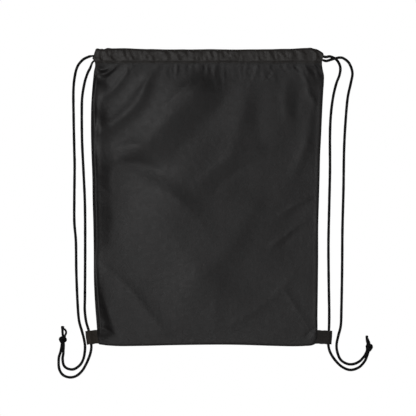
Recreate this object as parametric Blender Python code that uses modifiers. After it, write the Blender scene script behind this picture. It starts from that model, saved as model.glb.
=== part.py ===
"""Drawstring backpack (gym sack): two sewn fabric panels with hem tunnels round
the mouth, two closed cord loops threaded through the tunnels in opposite
directions, and a webbing tab at each bottom corner that takes the cord.

Units are metres, +Z is up, the front panel faces -Y and left is -X.  Dimensions
are design coordinates: from the bag's bottom edge (z = 0), its centre line
(x = 0) and its mid-plane (y = 0).  The empty "bag_frame" then puts the origin
at the centre of the back panel's outer face.
"""
import math

import bmesh
import bpy
import numpy as np
from mathutils import Matrix, Vector

MM = 0.001

# ---------------------------------------------------------------- dimensions
BAG_HEIGHT = 0.4390          # bottom edge to top of the hem tunnels
HALF_DEPTH = 0.0120          # mid-plane to the flat outer face of a panel
FABRIC = 0.0005              # thickness of panels and hem tunnels
HALF_WIDTHS = [              # (height, half width) of the side seams
    (0.000, 0.1590), (0.013, 0.1612), (0.030, 0.1622), (0.060, 0.1642),
    (0.150, 0.1660), (0.250, 0.1680), (0.330, 0.1702), (0.375, 0.1706),
    (0.400, 0.1690), (0.420, 0.1675),
]
WIDTH_BLEND = 0.012          # widths are averaged this far up and down
CORNER_RADIUS = 0.009        # bottom corners
CORNER_LIFT = 0.75           # share of the full corner rounding that is used
CORNER_FADE = 0.05           # height at which the rounding has died out
EDGE_GAP = 0.0008            # panel middle surface to the mid-plane at a seam
SWELL = 0.046                # distance over which a panel swells from its seam
PANEL_TOP = 0.4170           # panel ends here, tunnel starts above it
FLARE_FROM = 0.3950          # the mouth parts from here up

CASING_BOTTOM = 0.41775      # hem tunnel, stitch line
CASING_HALF_LENGTH = 0.1680
CASING_HALF_THICK = 0.0029
CASING_EDGE_HALF_THICK = 0.0011  # least half thickness, near the tunnel's edges
CASING_Y_END = 0.0040        # tunnel centre to mid-plane at the mouth corner
CASING_Y_MID = 0.0086        # and in the middle of the mouth

STITCH_RADIUS = 0.00028
STITCH_HALF_LENGTH = 0.1660
STITCH_STANDOFF = 0.0007     # thread centre beyond the tunnel's edge thickness

CORD_RADIUS = 0.0017         # 3.4 mm braided cord
LANE_UPPER = 0.4290          # the two cords run one above the other
LANE_LOWER = 0.4232
BIGHT_START = CASING_HALF_LENGTH - 0.0016    # x where a U-turn leaves the tunnel
RUN_END = BIGHT_START - 0.0003               # a run stops just short of it

SEAM_WIDTH = 0.0065          # overlocked seam allowance inside the bag
SEAM_THICK = 0.0004
SIDE_SEAM_INSET = 0.0010     # strip's outer line inside the panel edge
SIDE_SEAM_BOTTOM = 0.012
SIDE_SEAM_TOP = FLARE_FROM - 0.004
BOTTOM_SEAM_HALF_LENGTH = 0.1480
BOTTOM_SEAM_HEIGHT = 0.0012

MOUTH_AXIS_HEIGHT = 0.4255
ANCHOR_TOP = (CASING_HALF_LENGTH, 0.425)     # (x, z) ends of the line a strap
ANCHOR_TAB = (0.1632, 0.013)                 # swings about
TAIL_PIVOT_LEFT = (-0.1755, -0.005)          # (x, z)
TAIL_PIVOT_RIGHT = (0.1857, -0.005)

TAB_HEIGHT = 0.0200
TAB_CENTRE_HEIGHT = 0.0127
TAB_WEBBING = 0.0009
TAB_START = 0.0007           # gap between the anchor line and the tab
TAB_HALF_GAP = 0.00062       # half opening of the fold at its seam end
TAB_SPREAD = 0.0004          # extra half opening gained away from the seam
TAB_SPREAD_SHARE = 0.4       # share of the length over which it is gained
TAB_BELLY = 0.00190          # extra half opening round the cord
TAB_BELLY_REACH = 0.0036
TAB_FOLD = 0.10              # last share of the length, rounded to a close

# ---------------------------------------------------------------- cord paths
# All path points are (x, y, z) in millimetres.
LEFT_STRAP_CORDS = {
    "left_strap_outer_strand": [
        (-176.55, -4.0, 427.25), (-183.5, -3.9, 423.4), (-191.0, -3.6, 414.4),
        (-195.1, -3.3, 401.0), (-197.5, -3.0, 378.0), (-197.0, -2.6, 334.0),
        (-196.0, -2.2, 280.0), (-196.4, -2.0, 216.0), (-195.9, -2.0, 183.0),
        (-193.8, -2.0, 154.0), (-193.3, -2.0, 110.0), (-191.5, -2.0, 65.0),
        (-189.4, -2.0, 38.5), (-185.0, -2.0, 22.0), (-182.0, -2.0, 10.4),
        (-180.9, -2.0, -1.0),
    ],
    "left_strap_inner_strand": [
        (-173.2, 4.0, 411.0), (-176.9, 4.0, 403.6), (-181.2, 3.9, 390.0),
        (-184.6, 3.5, 370.0), (-185.4, 3.0, 350.0), (-185.0, 2.6, 305.0),
        (-182.9, 2.2, 260.0), (-180.7, 1.6, 209.0), (-180.3, 1.2, 145.0),
        (-180.9, 0.8, 74.0), (-180.9, 0.5, 53.0), (-178.8, 0.2, 36.0),
        (-175.2, 0.0, 23.5), (-173.0, 0.0, 11.0), (-171.1, 0.0, -1.0),
    ],
}
RIGHT_STRAP_CORDS = {
    "right_strap_inner_strand": [
        (176.55, 4.0, 427.95), (181.5, 4.0, 427.8), (187.0, 4.0, 425.7),
        (194.0, 3.9, 420.6), (197.7, 3.8, 412.0), (196.2, 3.6, 401.0),
        (191.4, 3.3, 388.0), (186.8, 3.0, 368.5), (183.5, 2.6, 343.0),
        (182.1, 2.3, 312.0), (182.1, 2.0, 260.0), (181.0, 1.6, 209.0),
        (179.8, 1.2, 150.0), (180.3, 0.8, 90.0), (180.9, 0.4, 53.0),
        (180.6, 0.0, 30.0), (179.9, 0.0, 13.0), (179.6, 0.0, -1.0),
    ],
    "right_strap_outer_strand": [
        (176.55, -4.0, 421.85), (181.5, -4.1, 422.0), (187.2, -4.2, 424.0),
        (195.4, -4.2, 426.2), (203.2, -4.0, 424.6), (210.9, -3.8, 417.0),
        (215.0, -3.5, 404.0), (212.5, -3.3, 388.0), (208.1, -3.0, 367.0),
        (205.1, -2.6, 334.0), (202.8, -2.2, 290.0), (201.9, -2.0, 231.0),
        (200.4, -2.0, 172.0), (199.9, -2.0, 112.0), (198.9, -2.0, 56.0),
        (197.6, -2.0, 31.0), (194.3, -2.0, 16.0), (191.8, -2.0, -1.0),
    ],
}
LEFT_TAIL_CORDS = {
    "left_tail_outer_strand": [
        (-180.9, -2.0, -9.0), (-182.6, -2.0, -18.5), (-188.0, -2.0, -28.0),
        (-196.8, -2.0, -34.0), (-205.7, -1.9, -33.6), (-211.4, -1.6, -28.0),
        (-213.2, -1.3, -19.0), (-212.4, -1.0, -9.0), (-211.7, -1.0, 2.0),
    ],
    "left_tail_inner_strand": [
        (-171.3, 0.0, -9.0), (-174.0, 0.3, -16.5), (-178.6, 0.6, -26.5),
        (-185.0, 0.9, -37.0), (-193.9, 1.0, -44.6), (-204.2, 1.0, -46.4),
        (-213.9, 1.0, -42.3), (-218.6, 1.0, -32.5), (-218.9, 1.0, -18.0),
        (-217.0, 1.0, -7.0), (-215.6, 1.0, 2.0),
    ],
    "left_cord_end_1": [
        (-216.0, 0.4, 14.1), (-217.2, 0.4, 18.5), (-216.5, 0.4, 24.0), (-213.9, 0.4, 29.5),
    ],
    "left_cord_end_2": [(-211.6, -0.4, 14.1), (-209.4, -0.4, 17.6), (-208.6, -0.4, 22.5)],
}
RIGHT_TAIL_CORDS = {
    "right_tail_inner_strand": [
        (182.2, 0.0, -9.0), (185.2, 0.4, -14.8), (190.4, 0.8, -21.4),
        (199.8, 1.1, -30.6), (212.0, 1.2, -35.4), (224.7, 1.2, -31.8),
        (233.6, 1.2, -23.4), (237.4, 1.2, -16.5), (238.9, 1.2, -10.6),
    ],
    "right_tail_outer_strand": [
        (192.3, -2.0, -9.0), (197.2, -1.8, -19.8), (206.5, -1.5, -26.0),
        (216.1, -1.3, -26.8), (225.0, -1.2, -23.0), (231.4, -1.2, -16.9),
        (235.2, -1.2, -10.4),
    ],
    "right_cord_end_1": [(237.4, -0.9, 4.3), (235.6, -0.9, 8.6), (235.9, -0.9, 15.0)],
    "right_cord_end_2": [(241.2, 1.1, 4.3), (240.8, 1.1, 8.0), (239.6, 1.1, 12.0)],
}
# Points by which each cord enters its tunnel at the mouth corner.
LEFT_FRONT_ENTRY = [(-176.2, -4.0, 427.3)]
LEFT_BACK_ENTRY = [(-173.0, 4.0, 411.4), (-171.6, 4.0, 416.2), (-169.6, 4.0, 420.9)]
RIGHT_FRONT_ENTRY = [(176.2, -4.0, 421.9)]
RIGHT_BACK_ENTRY = [(176.2, 4.0, 427.9)]


# ------------------------------------------------------------------- helpers
def clamp(t):
    return max(0.0, min(1.0, t))


def smooth(t):
    t = clamp(t)
    return t * t * (3.0 - 2.0 * t)


def spaced(start, end, steps):
    """Evenly spaced values from start to end, both included."""
    return [start + (end - start) * k / steps for k in range(steps + 1)]


def metres(points):
    """Millimetre points turned into metres."""
    return [tuple(value * MM for value in point) for point in points]


def half_width(z):
    """Average of nearby widths, so the side seams are one flowing line."""
    heights = spaced(z - WIDTH_BLEND, z + WIDTH_BLEND, 6)
    return float(np.interp(heights, *zip(*HALF_WIDTHS)).mean())


def mouth_y(x):
    """Distance of a hem tunnel's centre line from the mid-plane."""
    t = clamp(abs(x) / CASING_HALF_LENGTH)
    return CASING_Y_END + (CASING_Y_MID - CASING_Y_END) * (1.0 - t * t)


def spline(points, per_span):
    """Points of a Catmull-Rom curve through the given points."""
    knots = [Vector(point) for point in points]
    knots = [knots[0] * 2.0 - knots[1]] + knots + [knots[-1] * 2.0 - knots[-2]]
    path = []
    for before, start, end, after in zip(knots, knots[1:], knots[2:], knots[3:]):
        for k in range(per_span):
            t = k / per_span
            path.append(0.5 * ((2.0 * start) + (end - before) * t
                               + (2.0 * before - 5.0 * start + 4.0 * end - after) * t * t
                               + (3.0 * start - before - 3.0 * end + after) * t ** 3))
    path.append(knots[-2])
    return path


def clear_scene():
    for obj in list(bpy.data.objects):
        bpy.data.objects.remove(obj, do_unlink=True)
    for block in (bpy.data.meshes, bpy.data.curves, bpy.data.materials):
        for item in list(block):
            block.remove(item)
    for coll in list(bpy.data.collections):
        bpy.data.collections.remove(coll)


def new_collection(name):
    coll = bpy.data.collections.new(name)
    bpy.context.scene.collection.children.link(coll)
    return coll


def new_material(name, colour, roughness):
    mat = bpy.data.materials.new(name)
    mat.use_nodes = True
    bsdf = next(n for n in mat.node_tree.nodes if n.type == "BSDF_PRINCIPLED")
    bsdf.inputs["Base Color"].default_value = (*colour, 1.0)
    bsdf.inputs["Roughness"].default_value = roughness
    bsdf.inputs["Metallic"].default_value = 0.0
    mat.diffuse_color = (*colour, 1.0)
    return mat


def new_frame():
    """The root empty; it moves the back panel's centre to the world origin."""
    obj = bpy.data.objects.new("bag_frame", None)
    PARTS.objects.link(obj)
    obj.location = (0.0, -HALF_DEPTH, -BAG_HEIGHT / 2.0)
    DESIGN[obj.name] = Matrix.Identity(4)
    return obj


def new_joint(name, x, z, parent, axis=(0.0, 0.0, 1.0)):
    """An empty in the mid-plane whose local Z lies along a joint's axis."""
    obj = bpy.data.objects.new(name, None)
    obj.empty_display_size = 0.02
    PARTS.objects.link(obj)
    turn = Vector((0.0, 0.0, 1.0)).rotation_difference(Vector(axis))
    DESIGN[name] = Matrix.Translation((x, 0.0, z)) @ turn.to_matrix().to_4x4()
    obj.parent = parent
    obj.matrix_basis = DESIGN[parent.name].inverted() @ DESIGN[name]
    return obj


def place(obj, parent, material, smooth_angle=None):
    """Link an object whose data is written in design coordinates."""
    PARTS.objects.link(obj)
    obj.parent = parent
    obj.matrix_basis = DESIGN[parent.name].inverted()
    obj.data.materials.append(material)
    if smooth_angle is not None:
        obj.data.shade_smooth()
        obj.data.set_sharp_from_angle(angle=math.radians(smooth_angle))
    return obj


def new_grid(columns, rows):
    """A flat grid from -1 to 1 in x and y, to be bent into shape."""
    bm = bmesh.new()
    bmesh.ops.create_grid(bm, x_segments=columns, y_segments=rows, size=1.0)
    return bm


def mesh_object(name, bm):
    mesh = bpy.data.meshes.new(name)
    bm.to_mesh(mesh)
    bm.free()
    return bpy.data.objects.new(name, mesh)


def solidify(obj, thickness, offset):
    mod = obj.modifiers.new("thickness", "SOLIDIFY")
    mod.thickness = thickness
    mod.offset = offset
    mod.use_even_offset = True


def cord(name, points, parent, material, radius=CORD_RADIUS, per_span=2):
    """A length of round cord or thread along a smooth path."""
    curve = bpy.data.curves.new(name, "CURVE")
    curve.dimensions = "3D"
    curve.bevel_depth = radius
    curve.bevel_resolution = 2
    curve.use_fill_caps = True
    curve.twist_mode = "MINIMUM"
    path = spline(points, per_span)
    line = curve.splines.new("POLY")
    line.points.add(len(path) - 1)
    for point, position in zip(line.points, path):
        point.co = (*position, 1.0)
    line.use_smooth = True
    place(bpy.data.objects.new(name, curve), parent, material)


# -------------------------------------------------------------- fabric parts
# Throughout, side is -1 for the front and +1 for the back.
def panel_y(x, z):
    """Middle surface of a panel: seams at the edges, a flat swollen centre."""
    inward = smooth((half_width(z) - abs(x)) / SWELL)
    upward = smooth(z / SWELL)
    body = EDGE_GAP + (HALF_DEPTH - FABRIC / 2.0 - EDGE_GAP) * inward * upward
    lip = smooth((z - FLARE_FROM) / (PANEL_TOP - FLARE_FROM))
    return body + (mouth_y(x) - body) * lip


def corner_lift(x, z):
    """How far a panel point is raised to round the bottom corner."""
    near = clamp((abs(x) - (half_width(0.0) - CORNER_RADIUS)) / CORNER_RADIUS)
    lift = CORNER_RADIUS * (1.0 - math.sqrt(1.0 - near ** 2))
    return lift * (1.0 - clamp(z / CORNER_FADE)) * CORNER_LIFT


def panel(name, side, parent, material):
    bm = new_grid(18, 20)
    for v in bm.verts:
        # rows and columns stand closer together near the seams
        across = math.sin(v.co.x * math.pi / 2.0) * 0.55 + v.co.x * 0.45
        up = (v.co.y + 1.0) / 2.0
        up -= 0.09 * math.sin(2.0 * math.pi * up)
        z = up * PANEL_TOP
        x = across * half_width(z)
        z += corner_lift(x, z)
        v.co = (x, side * panel_y(x, z), z)
    bmesh.ops.recalc_face_normals(bm, faces=bm.faces)
    if sum(f.normal.y for f in bm.faces) * side < 0.0:
        bmesh.ops.reverse_faces(bm, faces=bm.faces)
    obj = place(mesh_object(name, bm), parent, material, smooth_angle=40.0)
    solidify(obj, FABRIC, offset=0.0)


def casing(name, side, parent, material):
    """Hem tunnel: a grid rolled into an open-ended sleeve along the mouth."""
    height = BAG_HEIGHT - CASING_BOTTOM
    bm = new_grid(14, 16)
    for v in bm.verts:
        x = v.co.x * CASING_HALF_LENGTH
        turn = (v.co.y + 1.0) * math.pi
        rise = 0.5 - 0.5 * math.cos(turn)
        thick = CASING_HALF_THICK * max(0.0, math.sin(math.pi * rise)) ** 0.35
        thick = max(thick, CASING_EDGE_HALF_THICK)
        # the two walls close quickly at the top and bottom edges
        wall = max(-1.0, min(1.0, math.sin(turn) * 4.0))
        v.co = (x, side * (mouth_y(x) + thick * wall), CASING_BOTTOM + height * rise)
    bmesh.ops.remove_doubles(bm, verts=bm.verts, dist=0.00005)
    bmesh.ops.recalc_face_normals(bm, faces=bm.faces)
    # the sleeve's skin is its outside: the centre line is behind every face
    face = bm.faces[:][len(bm.faces) // 3]
    middle = face.calc_center_median()
    core = Vector((middle.x, side * mouth_y(middle.x), CASING_BOTTOM + height / 2.0))
    if face.normal.dot(middle - core) < 0.0:
        bmesh.ops.reverse_faces(bm, faces=bm.faces)
    obj = place(mesh_object(name, bm), parent, material, smooth_angle=50.0)
    solidify(obj, FABRIC, offset=-1.0)


def casing_stitch(name, side, parent, material):
    """Stitch line along the tunnel's foot, standing on its outer face."""
    standoff = CASING_EDGE_HALF_THICK + STITCH_STANDOFF
    points = [(x, side * (mouth_y(x) + standoff), CASING_BOTTOM)
              for x in spaced(-STITCH_HALF_LENGTH, STITCH_HALF_LENGTH, 12)]
    cord(name, points, parent, material, radius=STITCH_RADIUS, per_span=1)


def strip(name, outer, inner, parent, material):
    """Flat sewn strip between two lines of (x, z) points in the mid-plane."""
    steps = len(outer) - 1
    bm = new_grid(steps, 1)
    for v in bm.verts:
        k = round((v.co.x + 1.0) / 2.0 * steps)
        x, z = outer[k] if v.co.y > 0.0 else inner[k]
        v.co = (x, 0.0, z)
    bmesh.ops.recalc_face_normals(bm, faces=bm.faces)
    obj = place(mesh_object(name, bm), parent, material)
    solidify(obj, SEAM_THICK, offset=0.0)


def side_seam(name, sign, parent, material):
    """Seam strip up one side; sign is -1 for left and +1 for right."""
    edge = [(half_width(z) - SIDE_SEAM_INSET, z)
            for z in spaced(SIDE_SEAM_BOTTOM, SIDE_SEAM_TOP, 18)]
    outer = [(sign * x, z) for x, z in edge]
    inner = [(sign * (x - SEAM_WIDTH), z) for x, z in edge]
    strip(name, outer, inner, parent, material)


def bottom_seam(name, parent, material):
    stations = spaced(-BOTTOM_SEAM_HALF_LENGTH, BOTTOM_SEAM_HALF_LENGTH, 12)
    outer = [(x, BOTTOM_SEAM_HEIGHT) for x in stations]
    inner = [(x, BOTTOM_SEAM_HEIGHT + SEAM_WIDTH) for x in stations]
    strip(name, outer, inner, parent, material)


def tab_outline(length, cord_at):
    """(distance from the seam, y) along one leg, round the fold and back."""
    leg = []
    for share in spaced(0.0, 1.0, 12):
        x = TAB_START + share * (length - TAB_START)
        belly = math.exp(-((x - cord_at) / TAB_BELLY_REACH) ** 2)
        y = TAB_HALF_GAP + TAB_BELLY * belly + TAB_SPREAD * smooth(share / TAB_SPREAD_SHARE)
        closing = max(0.0, (share - (1.0 - TAB_FOLD)) / TAB_FOLD)
        leg.append((x, y * math.sqrt(max(0.0, 1.0 - closing ** 2))))
    fold = (leg.pop()[0], 0.0)
    return [(x, -y) for x, y in leg] + [fold] + leg[::-1]


def tab(name, sign, length, cord_at, tilt, parent, material):
    """Webbing folded over the cord: two legs from the seam, a flat fold."""
    outline = tab_outline(length, cord_at)
    bm = new_grid(len(outline) - 1, 2)
    for v in bm.verts:
        x, y = outline[round((v.co.x + 1.0) / 2.0 * (len(outline) - 1))]
        up = v.co.y * TAB_HEIGHT / 2.0
        # the whole tab leans a little, its free end downwards
        v.co = (sign * (ANCHOR_TAB[0] + x * math.cos(tilt) + up * math.sin(tilt)),
                y,
                TAB_CENTRE_HEIGHT + up * math.cos(tilt) - (x - length / 2.0) * math.sin(tilt))
    bmesh.ops.recalc_face_normals(bm, faces=bm.faces)
    # the face furthest from the bag must look away from it
    far = max(bm.faces, key=lambda f: sign * f.calc_center_median().x)
    if far.normal.x * sign < 0.0:
        bmesh.ops.reverse_faces(bm, faces=bm.faces)
    obj = place(mesh_object(name, bm), parent, material, smooth_angle=50.0)
    solidify(obj, TAB_WEBBING, offset=1.0)


# --------------------------------------------------------------- cord pieces
def knot(name, centre, radii, parent, material):
    """Ellipsoid knot with a slight waist; centre and radii in millimetres."""
    bm = bmesh.new()
    bmesh.ops.create_uvsphere(bm, u_segments=14, v_segments=9, radius=1.0)
    for v in bm.verts:
        waist = 1.0 - 0.07 * math.exp(-(v.co.z / 0.28) ** 2)
        v.co = ((centre[0] + v.co.x * radii[0] * waist) * MM,
                (centre[1] + v.co.y * radii[1] * waist) * MM,
                (centre[2] + v.co.z * radii[2]) * MM)
    place(mesh_object(name, bm), parent, material, smooth_angle=60.0)


def cord_run(name, entry, side, lane, start, end, parent, material):
    """Cord lying in one tunnel from x = start to x = end, after its entry."""
    inside = [(x, side * mouth_y(x), lane) for x in spaced(start, end, 10)]
    cord(name, metres(entry) + inside, parent, material, per_span=1)


def bight(name, sign, front_lane, back_lane, parent, material):
    """U-turn from the front tunnel to the back tunnel at a mouth corner."""
    depth = mouth_y(BIGHT_START)
    middle = (front_lane + back_lane) / 2.0
    # (x beyond the start, y inward from the tunnel, share of the way to middle)
    bends = [(0.0, 0.0, 0.0), (0.0030, 0.00035, 0.12), (0.0057, 0.0020, 0.50)]

    def half_turn(side, lane):
        return [(sign * (BIGHT_START + out), side * (depth - inward),
                 lane + (middle - lane) * share)
                for out, inward, share in bends]

    tip = (sign * (BIGHT_START + 0.0066), 0.0, middle)
    points = half_turn(-1.0, front_lane) + [tip] + half_turn(1.0, back_lane)[::-1]
    cord(name, points, parent, material)


def hanging_cords(paths, parent, material):
    for name, points in paths.items():
        cord(name, metres(points), parent, material)


# --------------------------------------------------------------------- build
clear_scene()
PARTS = new_collection("drawstring_backpack")
DESIGN = {}     # name of each empty: its matrix in design coordinates

# materials
FABRIC_BLACK = (0.026, 0.025, 0.025)
HEM_BLACK = (0.031, 0.030, 0.029)
CORD_BLACK = (0.010, 0.010, 0.010)
WEBBING_BLACK = (0.017, 0.016, 0.015)
THREAD_BLACK = (0.013, 0.013, 0.014)

fabric_front = new_material("front_fabric", colour=FABRIC_BLACK, roughness=0.62)
fabric_back = new_material("back_fabric", colour=FABRIC_BLACK, roughness=0.62)
hem_front = new_material("front_hem", colour=HEM_BLACK, roughness=0.60)
hem_back = new_material("back_hem", colour=HEM_BLACK, roughness=0.60)
thread = new_material("sewing_thread", colour=THREAD_BLACK, roughness=0.55)
overlock = new_material("overlock_thread", colour=THREAD_BLACK, roughness=0.75)
left_braid = new_material("left_cord_braid", colour=CORD_BLACK, roughness=0.55)
right_braid = new_material("right_cord_braid", colour=CORD_BLACK, roughness=0.55)
webbing = new_material("tab_webbing", colour=WEBBING_BLACK, roughness=0.70)

# frame and joints
frame = new_frame()
left_mouth = new_joint("left_mouth_axis", -CASING_HALF_LENGTH, MOUTH_AXIS_HEIGHT, frame)
right_mouth = new_joint("right_mouth_axis", CASING_HALF_LENGTH, MOUTH_AXIS_HEIGHT, frame)
lean = ANCHOR_TOP[0] - ANCHOR_TAB[0]
rise = ANCHOR_TOP[1] - ANCHOR_TAB[1]
left_strap = new_joint("left_strap_axis", -ANCHOR_TAB[0], ANCHOR_TAB[1], frame,
                       axis=(-lean, 0.0, rise))
right_strap = new_joint("right_strap_axis", ANCHOR_TAB[0], ANCHOR_TAB[1], frame,
                        axis=(-lean, 0.0, -rise))
left_tail = new_joint("left_tail_axis", *TAIL_PIVOT_LEFT, left_strap, axis=(0.0, 1.0, 0.0))
right_tail = new_joint("right_tail_axis", *TAIL_PIVOT_RIGHT, right_strap,
                       axis=(0.0, -1.0, 0.0))

# sewn body
for word, side, fabric, hem in (("front", -1.0, fabric_front, hem_front),
                                ("back", 1.0, fabric_back, hem_back)):
    panel(f"{word}_panel", side, frame, fabric)
    casing(f"{word}_casing", side, frame, hem)
    casing_stitch(f"{word}_casing_stitch", side, frame, thread)
side_seam("left_side_seam", -1.0, frame, overlock)
side_seam("right_side_seam", 1.0, frame, overlock)
bottom_seam("bottom_seam", frame, overlock)

# Cord inside the tunnels.  The left cord runs high in front and low behind,
# the right cord low in front and high behind, so the loops never cross inside.
cord_run("left_cord_front_run", LEFT_FRONT_ENTRY, side=-1.0, lane=LANE_UPPER,
         start=-0.1690, end=RUN_END, parent=frame, material=left_braid)
cord_run("left_cord_back_run", LEFT_BACK_ENTRY, side=1.0, lane=LANE_LOWER,
         start=-0.1655, end=RUN_END, parent=frame, material=left_braid)
cord_run("right_cord_front_run", RIGHT_FRONT_ENTRY, side=-1.0, lane=LANE_LOWER,
         start=0.1690, end=-RUN_END, parent=frame, material=right_braid)
cord_run("right_cord_back_run", RIGHT_BACK_ENTRY, side=1.0, lane=LANE_UPPER,
         start=0.1690, end=-RUN_END, parent=frame, material=right_braid)
bight("left_cord_bight", 1.0, LANE_UPPER, LANE_LOWER, right_mouth, left_braid)
bight("right_cord_bight", -1.0, LANE_LOWER, LANE_UPPER, left_mouth, right_braid)

# shoulder straps: two strands a side, the inner one passes through the tab's fold
hanging_cords(LEFT_STRAP_CORDS, left_strap, left_braid)
hanging_cords(RIGHT_STRAP_CORDS, right_strap, right_braid)
tab("left_tab", -1.0, length=0.0160, cord_at=0.0101, tilt=math.radians(6.0),
    parent=left_strap, material=webbing)
tab("right_tab", 1.0, length=0.0218, cord_at=0.0166, tilt=math.radians(3.0),
    parent=right_strap, material=webbing)

# cord below the tabs, with the knot that closes each loop
hanging_cords(LEFT_TAIL_CORDS, left_tail, left_braid)
hanging_cords(RIGHT_TAIL_CORDS, right_tail, right_braid)
knot("left_knot", centre=(-213.7, 0.0, 8.3), radii=(5.6, 4.7, 5.6),
     parent=left_tail, material=left_braid)
knot("right_knot", centre=(239.6, 0.0, -2.2), radii=(5.6, 4.7, 5.8),
     parent=right_tail, material=right_braid)
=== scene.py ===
"""Black drawstring bag with two cord straps, empty and flat.

It stands upright in the XZ plane with its mouth up (+Z), its front towards -Y and
its left side towards -X.  Shapes are written in metres from the bottom edge, centre
line and mid-plane; tables are in millimetres.  SHIFT takes both to the frame.
"""
import math

import bpy
import numpy as np
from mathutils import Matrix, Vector


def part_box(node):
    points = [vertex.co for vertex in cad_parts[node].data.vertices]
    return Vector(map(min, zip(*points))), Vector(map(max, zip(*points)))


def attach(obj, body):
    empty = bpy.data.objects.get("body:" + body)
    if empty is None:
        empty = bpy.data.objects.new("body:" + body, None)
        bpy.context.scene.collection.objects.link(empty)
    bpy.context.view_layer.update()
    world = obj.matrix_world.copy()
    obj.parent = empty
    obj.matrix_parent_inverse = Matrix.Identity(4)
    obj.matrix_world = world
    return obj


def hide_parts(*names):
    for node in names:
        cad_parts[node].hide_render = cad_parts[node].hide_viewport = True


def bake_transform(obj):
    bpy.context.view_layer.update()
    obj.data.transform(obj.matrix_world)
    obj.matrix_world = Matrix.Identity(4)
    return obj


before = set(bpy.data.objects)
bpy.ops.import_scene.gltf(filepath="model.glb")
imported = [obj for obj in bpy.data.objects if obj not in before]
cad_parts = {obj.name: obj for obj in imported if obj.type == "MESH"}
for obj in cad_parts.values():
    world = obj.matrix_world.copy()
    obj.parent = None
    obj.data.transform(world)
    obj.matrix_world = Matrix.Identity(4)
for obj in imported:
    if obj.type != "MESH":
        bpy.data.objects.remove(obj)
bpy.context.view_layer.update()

# ---------------------------------------------------------------------------
# Driving dimensions
# ---------------------------------------------------------------------------
MM = 0.001
FRONT, BACK = -1, 1                     # sign of y
SIDE_NAME = {FRONT: "front", BACK: "back"}
HALF_SIGN = {"left": -1.0, "right": 1.0}

panel_low, panel_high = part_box("front_panel")[0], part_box("back_panel")[1]
casing_low, casing_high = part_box("front_casing")
SHIFT = np.array([0.0, (panel_low.y + panel_high.y) / 2.0, panel_low.z])
STITCH_Z = casing_low.z - panel_low.z   # foot of the hem tunnels
MOUTH_X = casing_high.x                 # half width of the mouth

TUNNEL_Y = 0.0054       # middle of a hem tunnel, from the mid-plane
HEM_PUFF = 0.0023       # how far a tunnel stands out from its middle, round its cords
HEM_PRESS = 0.0006      # and where it is stitched or folded
CORD_RADIUS = 0.00206

# squares of the cloth grid: across, up to the stitch line, and on to the hem's top
SQUARES_X, SQUARES_BODY, SQUARES_HEM = 96, 120, 6
SQUARES_Z = SQUARES_BODY + SQUARES_HEM
STITCH_ROW = 2 * SQUARES_BODY           # in the refined grid

# side edges of the cloth: (z, x)
LEFT_EDGE = [
    (-2, -159.0), (3, -160.2), (12, -162.0), (27, -163.0), (39, -163.9), (56, -165.3),
    (74, -166.4), (92, -167.2), (145, -167.7), (181, -168.3), (216, -169.3), (252, -169.8),
    (287, -171.1), (323, -171.8), (341, -171.7), (358, -171.3), (376, -170.2), (394, -168.6),
    (408, -166.9), (414.5, -165.4), (418, -165.6), (426, -167.8), (432, -166.9),
    (438, -164.9), (442, -163.2)]
RIGHT_EDGE = [
    (-2, 157.5), (3, 159.8), (10, 162.6), (27, 163.7), (39, 163.6), (74, 164.0), (127, 164.6),
    (181, 164.8), (216, 165.8), (252, 166.8), (287, 167.7), (305, 168.7), (341, 170.3),
    (358, 171.1), (376, 172.1), (393, 173.2), (400, 173.2), (408, 171.5), (414.5, 170.3),
    (420, 170.1), (427, 171.6), (432, 172.2), (436, 169.0), (442, 165.5)]
# top and bottom edges of the cloth: (x, z)
TOP_EDGE = [
    (-172, 438.4), (-164, 439.6), (-161, 440.2), (-158.5, 439.4), (-155.5, 439.7),
    (-151.5, 439.2), (-148, 440.7), (-140, 440.3), (-121, 440.6), (-99, 439.5), (-77, 438.9),
    (-33, 438.6), (12, 438.9), (34, 438.5), (78, 438.9), (123, 439.7), (146, 440.8),
    (155, 440.9), (157.5, 439.9), (160, 439.6), (164, 438.2), (168, 435.8), (171, 433.6),
    (175, 431.0)]
BOTTOM_EDGE = [
    (-172, 4.6), (-165, 3.4), (-161, 2.6), (-152, 1.2), (-139, 0.1), (-99, 0.0), (-55, 1.0),
    (-10, 1.7), (34, 1.8), (56, 1.4), (78, 0.7), (100, 0.0), (146, 0.0), (155, 0.8),
    (160, 2.6), (164, 4.4), (172, 7.0)]
# cloth thrown up along the left seam of the front: (z, share of full height)
LEFT_SLUMP = [
    (0, 0.5), (38, 1.0), (68, 0.95), (98, 0.3), (127, -0.1), (157, 0.7), (186, 1.0),
    (216, 0.7), (245, 1.0), (275, 0.7), (305, 0.3), (335, 0.8), (364, 0.2), (392, 1.1),
    (415, 0.6)]

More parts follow.
